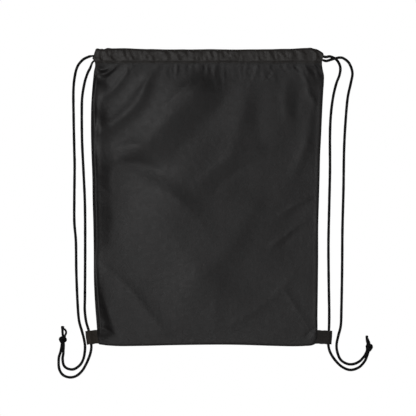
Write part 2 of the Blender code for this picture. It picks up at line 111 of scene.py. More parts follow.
# Folds: (width, height, then the (x, z) points of the crest)
FRONT_FOLDS = [
    # long fold from the left seam up to the hem, and the crease under it
    (25, 5.4, (-168, 240), (-132, 270), (-96, 300), (-46, 350), (2, 396)),
    (17, -5.0, (-156, 236), (-132, 258), (-104, 268), (-62, 255)),
    (9, 1.2, (-150, 288), (-110, 296), (-80, 290)),
    # the hollow that runs along its lower side
    (25, -3.3, (-70, 264), (-22, 314), (14, 350), (38, 390)),
    # its neighbours in the upper left corner
    (5.5, 3.6, (-176, 406), (-152, 403), (-139, 412)),
    (8.0, -2.6, (-170, 393), (-152, 392), (-140, 398), (-128, 413)),
    (14, 5.4, (-178, 304), (-160, 315), (-136, 331), (-113, 350), (-96, 372), (-88, 393)),
    (8, 3.0, (-158, 362), (-136, 382), (-120, 402), (-114, 412)),
    # upper right corner
    (3.0, -1.6, (148, 414), (157, 403), (164, 390)),
    (3.0, 1.2, (154, 417), (163, 405), (168, 392)),
    (3.5, 1.1, (138, 416), (143, 400), (150, 386)),
    # crumpled corner beside the left tab
    (3.0, 1.0, (-160, 22), (-150, 26), (-140, 18)),
    (2.6, -0.9, (-158, 14), (-146, 12), (-136, 4)),
    (2.2, 0.8, (-162, 6), (-150, 5)),
    # under the left half of the hem
    (7, 1.4, (-100, 372), (-84, 398), (-78, 412)),
    (8, 1.5, (-66, 352), (-30, 384), (-16, 408)),
    # the full part below the crease
    (34, 2.4, (-106, 226), (-72, 188), (-46, 152), (-6, 96)),
    (16, 1.6, (-110, 236), (-60, 226), (-10, 190)),
    (12, -0.8, (-142, 262), (-139, 205), (-130, 155), (-116, 116)),
    (6, 1.4, (-170, 250), (-169, 190), (-162, 140)),
    # lower left
    (12, 2.4, (-166, 132), (-120, 88), (-94, 56), (-56, 8)),
    (10, -1.4, (-150, 90), (-130, 58), (-112, 32), (-92, 2)),
    (7, -2.3, (-158, 84), (-142, 42), (-128, 6)),
    (6, 1.3, (-166, 66), (-150, 24)),
    # slanting crease right of the middle
    (12, 1.3, (92, 290), (42, 284), (12, 264), (-14, 238)),
    (9, -0.9, (94, 274), (56, 265), (27, 246), (8, 226)),
    # upper right
    (17, 1.4, (64, 402), (55, 352), (40, 302), (28, 268)),
    (15, -0.9, (84, 384), (76, 334), (88, 284)),
    (10, 1.0, (120, 392), (116, 362), (124, 330)),
    (9, -0.8, (135, 378), (132, 338)),
    (12, 2.2, (154, 344), (147, 300), (130, 258)),
    (6, 1.4, (146, 402), (152, 372), (168, 350)),
    # right seam
    (5.5, 1.3, (94, 148), (122, 168), (148, 187), (172, 193)),
    (4.5, -1.0, (110, 148), (140, 169), (170, 177)),
    (5, 1.3, (110, 196), (140, 213), (172, 222)),
    (4, -0.8, (120, 190), (152, 207)),
    (4, 0.8, (140, 140), (158, 146), (170, 148)),
    # lower right and lower middle
    (9, 0.9, (36, 32), (70, 52), (110, 84), (126, 106)),
    (4.5, -0.8, (124, 86), (142, 58), (162, 28)),
    (4.5, 1.0, (116, 80), (135, 52), (152, 24)),
    (24, 1.8, (-34, 84), (20, 128), (66, 196)),
    (18, -0.7, (96, 240), (84, 200), (60, 150)),
    (10, 0.5, (20, 100), (10, 50), (18, 10))]
BACK_FOLDS = [
    (19, 5.4, (168, 250), (120, 288), (74, 330), (20, 398)),
    (7, -3.8, (164, 262), (132, 274), (96, 272), (58, 250)),
    (10, 2.4, (150, 392), (128, 404), (112, 414)),
    (8, 2.0, (-152, 372), (-130, 390), (-118, 408)),
    (28, 4.4, (108, 236), (70, 190), (40, 150), (4, 96)),
    (9, -2.8, (152, 240), (150, 184), (128, 134)),
    (12, 2.8, (164, 126), (118, 86), (84, 40), (66, 6)),
    (11, 2.4, (-90, 292), (-48, 280), (-10, 254), (16, 214)),
    (7, -1.8, (-98, 274), (-56, 262), (-22, 236)),
    (12, 2.6, (-60, 400), (-52, 350), (-38, 300)),
    (12, 2.2, (-150, 340), (-144, 300), (-128, 256)),
    (5.5, 1.6, (-96, 148), (-124, 168), (-150, 186), (-170, 192)),
    (4.5, -1.2, (-112, 146), (-142, 168), (-168, 176)),
    (9, 1.6, (-36, 34), (-72, 56), (-112, 90)),
    (4.5, -1.3, (-124, 84), (-142, 56), (-160, 28)),
    (24, 1.8, (30, 84), (-24, 130), (-68, 190)),
    (13, 1.8, (-160, 256), (-120, 236), (-90, 200))]
# small sharp creases, as seen from whichever side is faced
CORNER_TUCKS = [
    # at the ends of the hem
    (2.4, 1.7, (-167, 408), (-152, 402), (-141, 407), (-131, 417)),
    (2.2, -1.5, (-164, 415), (-153.5, 408), (-144, 413)),
    (3.4, -1.3, (-158, 395), (-148, 397), (-136, 408)),
    (2.0, -2.0, (158, 423), (163, 416), (167, 408)),
    (2.2, 1.3, (155, 420), (160, 412), (164, 403)),
    (2.4, -1.2, (150, 417), (156, 410), (160, 402)),
    (2.6, 0.9, (142, 418), (148, 409), (150, 400)),
    # beside the tabs
    (2.4, 1.1, (-168, 24), (-156, 27), (-144, 20)),
    (2.2, -1.0, (-168, 15), (-154, 12), (-140, 3)),
    (2.2, -0.7, (168, 26), (156, 24), (146, 15)),
    (2.4, 0.4, (168, 20), (158, 16), (152, 8))]


# ---------------------------------------------------------------------------
# Curves and noise
# ---------------------------------------------------------------------------
def placed(points):
    """From the bag's own measure to the frame."""
    return np.asarray(points, float) + SHIFT


def look_up(table, at):
    """Smooth look-up in a table, by Hermite pieces with finite slopes."""
    keys = np.array([row[0] for row in table], float)
    values = np.array([row[1] for row in table], float)
    slopes = np.gradient(values, keys)
    at = np.clip(np.asarray(at, float), keys[0], keys[-1])
    k = np.clip(np.searchsorted(keys, at, side="right") - 1, 0, len(keys) - 2)
    gap = keys[k + 1] - keys[k]
    s = (at - keys[k]) / gap
    return ((2 * s**3 - 3 * s**2 + 1) * values[k] + (s**3 - 2 * s**2 + s) * gap * slopes[k]
            + (-2 * s**3 + 3 * s**2) * values[k + 1] + (s**3 - s**2) * gap * slopes[k + 1])


def edge_at(table, at):
    """An edge table read in metres."""
    return look_up(table, at / MM) * MM


def smooth(t):
    t = np.clip(t, 0.0, 1.0)
    return t * t * (3.0 - 2.0 * t)


def bell(distance, width):
    return np.exp(-(distance / width) ** 2)


class Noise:
    """Band-limited smooth noise from 48 seeded plane waves, about -1 to 1."""

    def __init__(self, seed, shortest, longest):
        rng = np.random.default_rng(seed)
        length = np.exp(rng.uniform(math.log(shortest), math.log(longest), 48))
        angle = rng.uniform(0.0, math.pi, 48)
        phase = rng.uniform(0.0, 2 * math.pi, 48)
        size = length / length.max()
        size /= math.sqrt((size**2).sum() / 2.0) * 2.2
        self.waves = list(zip(2 * math.pi / length * np.cos(angle),
                              2 * math.pi / length * np.sin(angle), phase, size))

    def __call__(self, x, z):
        total = np.zeros(np.broadcast(x, z).shape)
        for rate_x, rate_z, phase, size in self.waves:
            total += size * np.sin(rate_x * x + rate_z * z + phase)
        return total


def catmull(points, per=16):
    """A Catmull-Rom curve through the points, with `per` steps to a span."""
    path = np.array(points, float)
    path = np.concatenate([2 * path[:1] - path[1:2], path, 2 * path[-1:] - path[-2:-1]])
    t = (np.arange(per) / per)[:, None]
    spans = []
    for i in range(1, len(path) - 2):
        a, b, c, d = path[i - 1:i + 3]
        spans.append(0.5 * (2 * b + (c - a) * t + (2 * a - 5 * b + 4 * c - d) * t * t
                            + (3 * b - a - 3 * c + d) * t**3))
    spans.append(path[-2:-1])
    return np.concatenate(spans)


def run_length(points):
    steps = np.linalg.norm(np.diff(points, axis=0), axis=1)
    return np.concatenate([[0.0], np.cumsum(steps)])


def interpolate(at, along, points):
    return np.stack([np.interp(at, along, points[:, k]) for k in range(3)], -1)


def resample(points, step):
    """The line in even steps, and the length run at each."""
    along = run_length(points)
    count = max(3, int(round(along[-1] / step)) + 1)
    even = np.linspace(0.0, along[-1], count)
    return interpolate(even, along, points), even


# ---------------------------------------------------------------------------
# Folds, all in millimetres
# ---------------------------------------------------------------------------
def fold(x, z, points, width, height):
    """A soft ridge along a curved line, dying at its ends."""
    nearest = np.full(x.shape, 1e9)
    along = np.zeros(x.shape)
    path = catmull(points, 5)
    lengths = np.hypot(*(path[1:] - path[:-1]).T)
    total, run = lengths.sum(), 0.0
    for start, end, length in zip(path[:-1], path[1:], lengths):
        way = (end - start) / length
        reach = np.clip((x - start[0]) * way[0] + (z - start[1]) * way[1], 0.0, length)
        distance = np.hypot(x - start[0] - way[0] * reach, z - start[1] - way[1] * reach)
        closer = distance < nearest
        nearest = np.where(closer, distance, nearest)
        along = np.where(closer, (run + reach) / total, along)
        run += length
    taper = np.sin(np.pi * np.clip(along * 0.86 + 0.07, 0.0, 1.0)) ** 0.6
    return height * taper / (1.0 + (nearest / width) ** 2) ** 1.2


def fold_sum(x, z, table):
    return sum(fold(x, z, points, width, height) for width, height, *points in table)


def big_folds(x, z, side):
    """The broad folds, with rumples stretched along the slant of the long fold."""
    seed = 31 if side == FRONT else 41
    height = fold_sum(x, z, FRONT_FOLDS if side == FRONT else BACK_FOLDS)
    soft = Noise(seed, 60, 150)(x, z)
    lean = 0.62 * x + 0.78 * z
    across = 0.78 * x - 0.62 * z
    height += 0.9 * soft
    height += (0.10 * Noise(seed + 1, 26, 60)(lean * 0.55 + 4 * soft, across)
               * (0.6 + 0.4 * Noise(seed + 2, 80, 160)(x, z)))
    # finer puckers near the seams
    edge = np.minimum(x - look_up(LEFT_EDGE, z), look_up(RIGHT_EDGE, z) - x)
    near = np.exp(-np.clip(edge, 0, None) / 16.0) + np.exp(-np.clip(z, 0, None) / 12.0)
    height += 0.20 * Noise(seed + 3, 9, 24)(x, z * 1.3) * np.clip(near, 0.0, 1.0)
    return height


def seed_folds(x, z, side):
    """Where the hem and the bottom seam start their gathers."""
    back = int(side == BACK)
    rng = np.random.default_rng(11 + back)
    height = np.zeros_like(x)

    def either_way():
        return 1.0 if rng.random() < 0.5 else -1.0

    at = -160.0
    while at < 162.0:
        deep = rng.uniform(8.0, 28.0) if rng.random() < 0.7 else rng.uniform(28.0, 66.0)
        lean = rng.uniform(-0.34, 0.34) - 0.0016 * at
        high = rng.uniform(0.35, 1.5) * either_way()
        points = [(at, 424.0), (at + lean * deep * 0.45, 417.0 - deep * 0.5),
                  (at + lean * deep, 417.0 - deep)]
        height += fold(x, z, points, rng.uniform(2.2, 4.6), high)
        at += rng.uniform(3.5, 13.0)
    at = -150.0
    while at < 152.0:
        deep = rng.uniform(7.0, 20.0)
        points = [(at, -3.0), (at + rng.uniform(-4, 4), deep)]
        width = rng.uniform(2.6, 4.4)
        height += fold(x, z, points, width, rng.uniform(0.5, 1.2) * either_way())
        at += rng.uniform(6.0, 16.0)
    return height + 0.30 * Noise(33 + back, 10, 30)(x, z)


# ---------------------------------------------------------------------------
# Mesh building
# ---------------------------------------------------------------------------
def grid_normals(points):
    normals = np.cross(np.gradient(points, axis=0), np.gradient(points, axis=1))
    return normals / np.maximum(np.linalg.norm(normals, axis=-1, keepdims=True), 1e-12)


def grid_quads(grid):
    """Quads of a grid of vertex numbers."""
    corners = [grid[:-1, :-1], grid[1:, :-1], grid[1:, 1:], grid[:-1, 1:]]
    return np.stack(corners, -1).reshape(-1, 4)


def tube_quads(rings, around):
    grid = np.arange(rings * around).reshape(rings, around)
    beside = np.roll(grid, -1, axis=1)
    return np.stack([grid[:-1], beside[:-1], beside[1:], grid[1:]], -1).reshape(-1, 4)


def tube_rings(centre, radii, angles):
    """Rings of points round a line, without twist, and the line's direction."""
    ways = np.gradient(centre, axis=0)
    ways /= np.linalg.norm(ways, axis=1, keepdims=True)
    first = np.zeros_like(centre)
    upright = abs(ways[0][1]) < 0.9
    toward = np.array([0.0, 1.0, 0.0]) if upright else np.array([1.0, 0.0, 0.0])
    for k, way in enumerate(ways):
        toward = toward - way * (toward @ way)
        toward = toward / np.linalg.norm(toward)
        first[k] = toward
    second = np.cross(ways, first)
    rings = centre[:, None] + radii[..., None] * (
        np.cos(angles)[None, :, None] * first[:, None]
        + np.sin(angles)[None, :, None] * second[:, None])
    return rings, ways


def uv_pairs(first, second):
    return np.stack(np.broadcast_arrays(first, second), -1)


def add_mesh(name, verts, faces, loop_normals=None, shade_smooth=True):
    mesh = bpy.data.meshes.new(name)
    mesh.from_pydata(np.asarray(verts, float).tolist(), [], faces)
    mesh.polygons.foreach_set("use_smooth", [shade_smooth] * len(mesh.polygons))
    mesh.update()
    if loop_normals is not None:
        mesh.normals_split_custom_set(loop_normals.tolist())
    obj = bpy.data.objects.new(name, mesh)
    bpy.context.scene.collection.objects.link(obj)
    return obj


def dress(obj, material, vertex_uvs):
    """Material slot and, from one (u, v) per vertex, the UV map."""
    obj.data.materials.append(material)
    layer = obj.data.uv_layers.new(name="UVMap")
    index = np.zeros(len(obj.data.loops), np.int32)
    obj.data.loops.foreach_get("vertex_index", index)
    layer.data.foreach_set("uv", np.asarray(vertex_uvs, np.float32)[index].ravel())
    return obj


def shell(name, points, normals, thick, material, uvs):
    """A closed sheet of cloth: the outer grid with its outward normals, and an
    inner grid one thickness behind it, joined round the rim."""
    count = points.shape[0] * points.shape[1]
    points = placed(points)
    verts = np.concatenate([points.reshape(-1, 3), (points - normals * thick).reshape(-1, 3)])
    normals = normals.reshape(-1, 3)
    grid = np.arange(count).reshape(points.shape[:2])
    outer = grid_quads(grid)
    inner = outer[:, ::-1] + count
    ring = np.concatenate([grid[:, 0], grid[-1, 1:], grid[-2::-1, -1], grid[0, -2:0:-1]])
    beyond = np.roll(ring, -1)
    rim = np.stack([ring, beyond, beyond + count, ring + count], -1)
    # turn every face outwards; the rim's edges run against the outer grid's
    quad = verts[outer[0]]
    if np.cross(quad[1] - quad[0], quad[3] - quad[0]) @ normals[outer[0][0]] < 0:
        outer, inner = outer[:, ::-1], inner[:, ::-1]
    else:
        rim = rim[:, ::-1]
    rim_normals = np.cross(verts[rim[:, 1]] - verts[rim[:, 0]],
                           verts[rim[:, 3]] - verts[rim[:, 0]])
    rim_normals /= np.maximum(np.linalg.norm(rim_normals, axis=1, keepdims=True), 1e-12)
    loops = np.concatenate([normals[outer].reshape(-1, 3),
                            -normals[inner - count].reshape(-1, 3),
                            np.repeat(rim_normals, 4, axis=0)])
    obj = add_mesh(name, verts, np.concatenate([outer, inner, rim]).tolist(), loops)
    uvs = uvs.reshape(-1, 2)
    return dress(obj, material, np.concatenate([uvs, uvs]))


# ---------------------------------------------------------------------------
# The cloth: one sheet a side, from the bottom seam to the top of the hem
# ---------------------------------------------------------------------------
REST_HEIGHT = 0.0034        # of the sheets over the plate before they settle


def sheet_outline():
    """x and z of every grid point of a sheet, laid out between its four edges."""
    across = np.linspace(-1.0, 1.0, SQUARES_X + 1)[:, None]
    body = np.linspace(0.0, 1.0, SQUARES_BODY + 1)
    hem = 1.0 + np.linspace(0.0, 1.0, SQUARES_HEM + 1)[1:]
    up = np.concatenate([body, hem])[None, :]
    x = across * 0.166 * np.ones_like(up)
    for _ in range(4):
        bottom = edge_at(BOTTOM_EDGE, x)
        top = edge_at(TOP_EDGE, x)
        # the stitch line is slightly wavy
        foot = STITCH_Z + 0.0004 * np.sin(x * 60.0)
        z = np.where(up <= 1.0, bottom + (foot - bottom) * up, foot + (top - foot) * (up - 1.0))
        x = np.where(across < 0, -across * edge_at(LEFT_EDGE, z), across * edge_at(RIGHT_EDGE, z))
    return x, z


def add_plate():
    """The plate that the sheets settle on."""
    corners = [(-0.4, -0.2, 0), (1.1, -0.2, 0), (1.1, 0.6, 0), (-0.4, 0.6, 0)]
    plate = add_mesh("plate", corners, [(0, 1, 2, 3)])
    plate.modifiers.new("collide", "COLLISION")
    plate.collision.thickness_outer = 0.0005
    plate.collision.cloth_friction = 12.0
    return plate


def add_cloth(obj, frames):
    modifier = obj.modifiers.new("cloth", "CLOTH")
    cloth = modifier.settings
    cloth.quality = 5
    cloth.mass = 0.12
    cloth.air_damping = 2.0
    cloth.tension_stiffness = cloth.compression_stiffness = 30.0
    cloth.shear_stiffness = 12.0
    cloth.bending_stiffness = 0.35
    cloth.tension_damping = cloth.compression_damping = 8.0
    cloth.shear_damping = 8.0
    cloth.bending_damping = 0.6
    cloth.vertex_group_mass = "pin"
    cloth.pin_stiffness = 1.0
    cloth.vertex_group_shrink = "grow"
    cloth.shrink_min = 0.0
    cloth.shrink_max = -0.060
    cloth.effector_weights.gravity = 0.12
    modifier.collision_settings.distance_min = 0.0006
    modifier.collision_settings.use_self_collision = False
    modifier.point_cache.frame_start = 1
    modifier.point_cache.frame_end = frames


def settle(x, z, sides):
    """Cloth simulation: each sheet lies on a plate with a little more cloth
    than its seams span, most of it just under the drawn hem."""
    apart, frames = 0.6, 20
    count = x.size
    edge = np.ones(x.shape, bool)
    edge[1:-1, 1:-1] = False
    verts, grows = [], []
    for k, side in enumerate(sides):
        height = REST_HEIGHT + seed_folds(x / MM, z / MM, side) * MM * 0.8
        height = np.where(edge, 0.0012, np.maximum(height, 0.0009))
        verts.append(np.stack([x + apart * k, z, height], -1).reshape(-1, 3))
        uneven = np.clip(0.62 + 0.55 * Noise(61 + side, 24, 80)(x / MM, 0.0), 0.12, 1.0)
        near_hem = smooth((z - 0.345) / (STITCH_Z - 0.345)) ** 1.6 * uneven
        near_bottom = 0.55 * smooth((0.030 - z) / 0.030)
        grows.append(np.maximum(near_hem, near_bottom).reshape(-1))
    grid = np.arange(count).reshape(x.shape)
    faces = np.concatenate([grid_quads(grid) + count * k for k in range(len(sides))])
    obj = add_mesh("settling", np.concatenate(verts), faces.tolist())
    mesh = obj.data

    pin = obj.vertex_groups.new(name="pin")
    for k in range(len(sides)):
        pin.add((grid[edge] + count * k).tolist(), 1.0, "REPLACE")
    for k in range(len(sides)):
        pin.add((grid[1:-1, SQUARES_BODY] + count * k).tolist(), 0.35, "REPLACE")
    grow = obj.vertex_groups.new(name="grow")
    grows = np.concatenate(grows)
    for level in np.linspace(0.05, 1.0, 20):
        chosen = np.nonzero(np.abs(grows - level) <= 0.025)[0]
        grow.add(chosen.tolist(), float(level), "REPLACE")

    plate = add_plate()
    add_cloth(obj, frames)
    scene = bpy.context.scene
    for frame in range(1, frames + 1):
        scene.frame_set(frame)
    depsgraph = bpy.context.evaluated_depsgraph_get()
    done = np.zeros(len(mesh.vertices) * 3, np.float32)
    obj.evaluated_get(depsgraph).data.vertices.foreach_get("co", done)
    done = done.reshape(len(sides), *x.shape, 3).astype(float)
    scene.frame_set(1)
    bpy.data.objects.remove(obj)
    bpy.data.objects.remove(plate)
    return [(np.clip(sheet[..., 0] - apart * k - x, -0.005, 0.005),
             np.clip(sheet[..., 1] - z, -0.005, 0.005),
             np.clip(sheet[..., 2], 0.0, 0.016)) for k, sheet in enumerate(done)]


def finer(grid):
    """Twice the grid, by Catmull-Rom in both directions."""
    for axis in (0, 1):
        grid = np.moveaxis(grid, axis, 0)
        wide = np.concatenate([2 * grid[:1] - grid[1:2], grid, 2 * grid[-1:] - grid[-2:-1]])
        between = (-wide[:-3] + 9 * wide[1:-2] + 9 * wide[2:-1] - wide[3:]) / 16.0
        doubled = np.empty((2 * len(grid) - 1,) + grid.shape[1:])
        doubled[0::2], doubled[1::2] = grid, between
        grid = np.moveaxis(doubled, 0, axis)
    return grid


def dome(x, z, left, right, foot, side):
    """The broad swell of a side; left, right and foot are distances to the edges."""
    full = 0.0026 + 0.0052 * smooth(z / 0.190) + 0.0016 * smooth((z - 0.265) / 0.120)
    inset = 0.029 + 0.012 * bell(z - 0.215, 0.06) if side == FRONT else 0.006
    full = full * (1.0 - 0.50 * smooth((x + 0.06) / 0.15))
    flank = (0.075 + 0.080 * (1.0 - smooth((z - 0.130) / 0.120))
             + 0.070 * smooth((z - 0.270) / 0.070))
    sideways = smooth((left - inset) / flank) * smooth(right / 0.095)
    return full * sideways ** 0.85 * smooth(foot / 0.045) ** 0.8


def standing_seams(z, left, right, foot, side):
    """Cloth standing up along the side seams, most of it on the left."""
    stand = (0.0017 * bell(left - 0.0032, 0.0034)
             * (0.65 + 0.45 * Noise(55, 45, 120)(0.0, z / MM)))
    stand = stand + (0.0006 * bell(right - 0.003, 0.003)
                     * (0.6 + 0.4 * Noise(56, 30, 90)(0.0, z / MM)))
    if side == FRONT:
        # thrown up along the left seam, falling back into a hollow beside it
        back = 0.023 + 0.013 * bell(z - 0.225, 0.06) + 0.008 * bell(z - 0.030, 0.03)
        stand = stand + (0.0062 * look_up(LEFT_SLUMP, z / MM) * smooth(left / 0.006)
                         * (1.0 - smooth((left - 0.006) / back)))
    return stand * smooth(foot / 0.02) * (1.0 - smooth((z - (STITCH_Z - 0.025)) / 0.020))


def cloth_sheet(side, x, z, settled):
    """Refined grid of a side: settled x and z, distance of the outer face from the
    mid-plane, and the flat x and z."""
    back = int(side == BACK)
    slide_x, slide_z, settled_height = (finer(part) for part in settled)
    x, z = finer(x), finer(z)
    left = x - edge_at(LEFT_EDGE, z)
    right = edge_at(RIGHT_EDGE, z) - x
    foot = z - edge_at(BOTTOM_EDGE, x)
    flank = np.minimum(left, right)
    rim = np.minimum(flank, foot)
    fade = smooth(rim / 0.009)

    wide = smooth(flank / 0.016) * smooth(foot / 0.018)
    folds = 1.15 * big_folds(x / MM, z / MM, side) * MM * (0.12 + 0.88 * wide) * fade
    crumple = (0.035 * MM * Noise(51 + back, 5, 15)(x / MM, z / MM)
               * (1.0 + 2.0 * np.exp(-rim / 0.02)))
    small = (settled_height - REST_HEIGHT) * (0.25 + 0.75 * fade) * fade + crumple * fade
    # the gathers are calmer in patches under the hem
    patches = 0.5 + 0.5 * Noise(77 + back, 34, 80)(x / MM, 0.0)
    calm = smooth((z - 0.330) / 0.045) * patches
    small = small * (1.0 - 0.62 * np.clip(calm, 0.0, 1.0))

    body = (dome(x, z, left, right, foot, side) + folds + small
            + standing_seams(z, left, right, foot, side))
    # soft floor at the mid-plane, and a rolled edge
    roll = 0.0013 * np.sqrt(np.clip(1.0 - (1.0 - np.clip(rim, 0.0, 0.0015) / 0.0015) ** 2,
                                    0.0, 1.0))
    body = 0.5 * (body + np.sqrt(body * body + (0.0014 * fade) ** 2)) + 0.00012 + roll

    # towards the mouth the cloth goes to its place in the hem; past the top
    # of the side seams front and back part
    lip = smooth((z - (STITCH_Z - 0.045)) / 0.045)
    parted = smooth((z - (STITCH_Z - 0.0200)) / 0.0200)
    share = np.maximum(parted, smooth(flank / 0.020))
    hem = TUNNEL_Y + HEM_PRESS + ((small * 1.1 + folds * 0.55)
                                  * (1.0 - 0.8 * smooth((z - (STITCH_Z - 0.005)) / 0.005)))
    y = body * (1.0 - lip) + hem * lip * share
    y = y + (fold_sum(x / MM * (-side), z / MM, CORNER_TUCKS) * MM * smooth(rim / 0.004)
             * (1.0 - 0.7 * smooth((z - (STITCH_Z - 0.004)) / 0.004)))
    return x + slide_x, z + slide_z, np.maximum(y, 0.00012), x, z


def cloth_sheets():
    x, z = sheet_outline()
    sides = (FRONT, BACK)
    settled = settle(x, z, sides)
    return {side: cloth_sheet(side, x, z, part) for side, part in zip(sides, settled)}


# ---------------------------------------------------------------------------
# Materials
# ---------------------------------------------------------------------------
class Nodes:
    """A material and short ways to add its shader nodes."""

    def __init__(self, name):
        self.material = bpy.data.materials.new(name)
        self.material.use_nodes = True
        self.tree = self.material.node_tree
        self.tree.nodes.clear()
        self.out = self.tree.nodes.new("ShaderNodeOutputMaterial")

    def put(self, socket, value):
        if isinstance(value, bpy.types.NodeSocket):
            self.tree.links.new(value, socket)
        else:
            socket.default_value = value

    def add(self, kind, **inputs):
        node = self.tree.nodes.new(kind)
        for name, value in inputs.items():
            self.put(node.inputs[name], value)
        return node

    def operate(self, kind, operation, *values):
        node = self.tree.nodes.new(kind)
        node.operation = operation
        for k, value in enumerate(values):
            self.put(node.inputs[k], value)
        return node

    def math(self, operation, *values):
        return self.operate("ShaderNodeMath", operation, *values).outputs[0]

    def plus(self, first, second):
        return self.math("ADD", first, second)

    def times(self, first, second):
        return self.math("MULTIPLY", first, second)

    def sine(self, value, period):
        return self.math("SINE", self.times(value, 2.0 * math.pi / period))

    def vector(self, operation, *values):
        return self.operate("ShaderNodeVectorMath", operation, *values)

    def noise(self, vector, scale, detail=3.0, rough=0.5):
        return self.add("ShaderNodeTexNoise", Vector=vector, Scale=scale, Detail=detail,
                        Roughness=rough).outputs[0]

    def remap(self, value, low, high, to_low=0.0, to_high=1.0):
        node = self.add("ShaderNodeMapRange")
        for k, part in enumerate((value, low, high, to_low, to_high)):
            self.put(node.inputs[k], part)
        return node.outputs[0]

    def uv(self):
        """The UV map, and its u and v apart."""
        node = self.add("ShaderNodeUVMap")
        node.uv_map = "UVMap"
        split = self.add("ShaderNodeSeparateXYZ")
        self.put(split.inputs[0], node.outputs[0])
        return node.outputs[0], split.outputs[0], split.outputs[1]

    def mix(self, factor, first, second):
        node = self.tree.nodes.new("ShaderNodeMix")
        node.data_type = "RGBA"
        self.put(node.inputs[0], factor)
        for k, colour in ((6, first), (7, second)):
            self.put(node.inputs[k], (*colour, 1.0) if isinstance(colour, tuple) else colour)
        return node.outputs[2]

    def bump(self, height, strength, distance, **under):
        return self.add("ShaderNodeBump", Height=height, Strength=strength, Distance=distance,
                        **under).outputs[0]

    def finish(self, colour, rough, normal, specular, sheen, sheen_rough):
        inputs = {"Base Color": colour, "Roughness": rough, "Normal": normal,
                  "Specular IOR Level": specular, "Sheen Weight": sheen,
                  "Sheen Roughness": sheen_rough, "Sheen Tint": (1.0, 1.0, 1.0, 1.0)}
        node = self.add("ShaderNodeBsdfPrincipled", **inputs)
        self.put(self.out.inputs[0], node.outputs[0])
        return self.material


def shade(colour, factor):
    return tuple(part * factor for part in colour)


def cloth_material(name, base, offset):
    """Plain-woven polyester, 0.36 mm thread spacing."""
    nodes = Nodes(name)
    period = 0.00072        # two threads
    uvs, across, up = nodes.uv()
    weave = nodes.times(nodes.sine(across, period), nodes.sine(up, period))
    place = nodes.vector("ADD", uvs, (offset * 1.7, offset * 0.9, 0.0)).outputs[0]
    # uneven yarns, as noise drawn out along each thread direction
    slubs = []
    for stretch in ((60.0, 2600.0, 1.0), (2600.0, 60.0, 1.0)):
        drawn = nodes.vector("MULTIPLY", place, stretch).outputs[0]
        slubs.append(nodes.noise(drawn, scale=1.0, detail=2.0))
    yarn = nodes.plus(*slubs)
    broad = nodes.noise(place, scale=14.0, detail=4.0, rough=0.55)
    small = nodes.noise(place, scale=120.0, detail=3.0, rough=0.6)
    # paling of crests and seams: part wear, part painted highlight on the fold crests
    crest_wear_and_highlight = nodes.add("ShaderNodeAttribute")
    crest_wear_and_highlight.attribute_name = "crest_wear_and_highlight"
    hem = nodes.remap(up, low=STITCH_Z - 0.0006, high=STITCH_Z + 0.0006)
    tone = nodes.remap(nodes.plus(nodes.times(broad, 0.7), nodes.times(small, 0.3)),
                       low=0.35, high=0.65)
    body = nodes.mix(tone, shade(base, 0.82), shade(base, 1.18))
    # the hem is doubled and pressed; it is painted paler, as painted light on the tunnel
    hem_painted_light = shade((base[0] * 1.05, base[1], base[2] * 0.84), 2.25)
    body = nodes.mix(nodes.times(hem, 0.75), body, hem_painted_light)
    # pale slubs, dark gaps in the weave, and paler crests: wear along the seams and the hem's
    # top, and a painted highlight on the fold crests
    for value, amount, factor in (
            (nodes.remap(yarn, low=0.8, high=1.2), 0.20, 1.7),
            (nodes.remap(weave, low=-1.0, high=1.0), 0.22, 0.45),
            (crest_wear_and_highlight.outputs["Fac"], 0.30, 2.4)):
        body = nodes.mix(nodes.times(value, amount), body, shade(base, factor))
    rough = nodes.remap(nodes.plus(small, nodes.times(broad, 0.5)),
                        low=0.45, high=1.05, to_low=0.38, to_high=0.52)
    fine = nodes.noise(place, scale=260.0, detail=3.0, rough=0.55)
    coarse = nodes.noise(place, scale=90.0, detail=2.0)
    creased = nodes.bump(nodes.plus(fine, nodes.times(coarse, 1.6)),
                         strength=0.55, distance=0.00035)
    normal = nodes.bump(nodes.plus(weave, nodes.times(yarn, 0.5)),
                        strength=0.35, distance=0.00006, Normal=creased)
    return nodes.finish(body, rough, normal, specular=0.32, sheen=0.03, sheen_rough=0.35)


def braid_material(name, base):
    """Braided cord: the sheath is modelled, this adds yarns and their shine, and paints the
    raised strands paler, part wear and part painted highlight.
    """
    nodes = Nodes(name)
    uvs, around, along = nodes.uv()
    fibres = [nodes.sine(nodes.math(turn, around, nodes.times(along, 0.55)), 0.00022)
              for turn in ("ADD", "SUBTRACT")]
    pile = nodes.times(*fibres)
    fuzz = nodes.noise(uvs, scale=900.0, detail=3.0, rough=0.6)
    broad = nodes.noise(uvs, scale=30.0, detail=3.0, rough=0.5)
    geometry = nodes.add("ShaderNodeNewGeometry")
    high = nodes.remap(geometry.outputs["Pointiness"], low=0.46, high=0.56)
    colour = nodes.mix(nodes.remap(broad, low=0.3, high=0.7),
                       shade(base, 0.8), shade(base, 1.25))
    colour = nodes.mix(nodes.times(nodes.remap(pile, low=-1.0, high=1.0), 0.25),
                       colour, shade(base, 0.4))
    # raised strands painted paler: part fibre wear, part painted highlight
    colour = nodes.mix(nodes.times(high, 0.55), colour, shade(base, 2.6))
    rough = nodes.remap(fuzz, low=0.3, high=0.7, to_low=0.42, to_high=0.62)
    normal = nodes.bump(nodes.plus(pile, nodes.times(fuzz, 0.8)),
                        strength=0.4, distance=0.00008)
    return nodes.finish(colour, rough, normal, specular=0.13, sheen=0.0, sheen_rough=0.4)


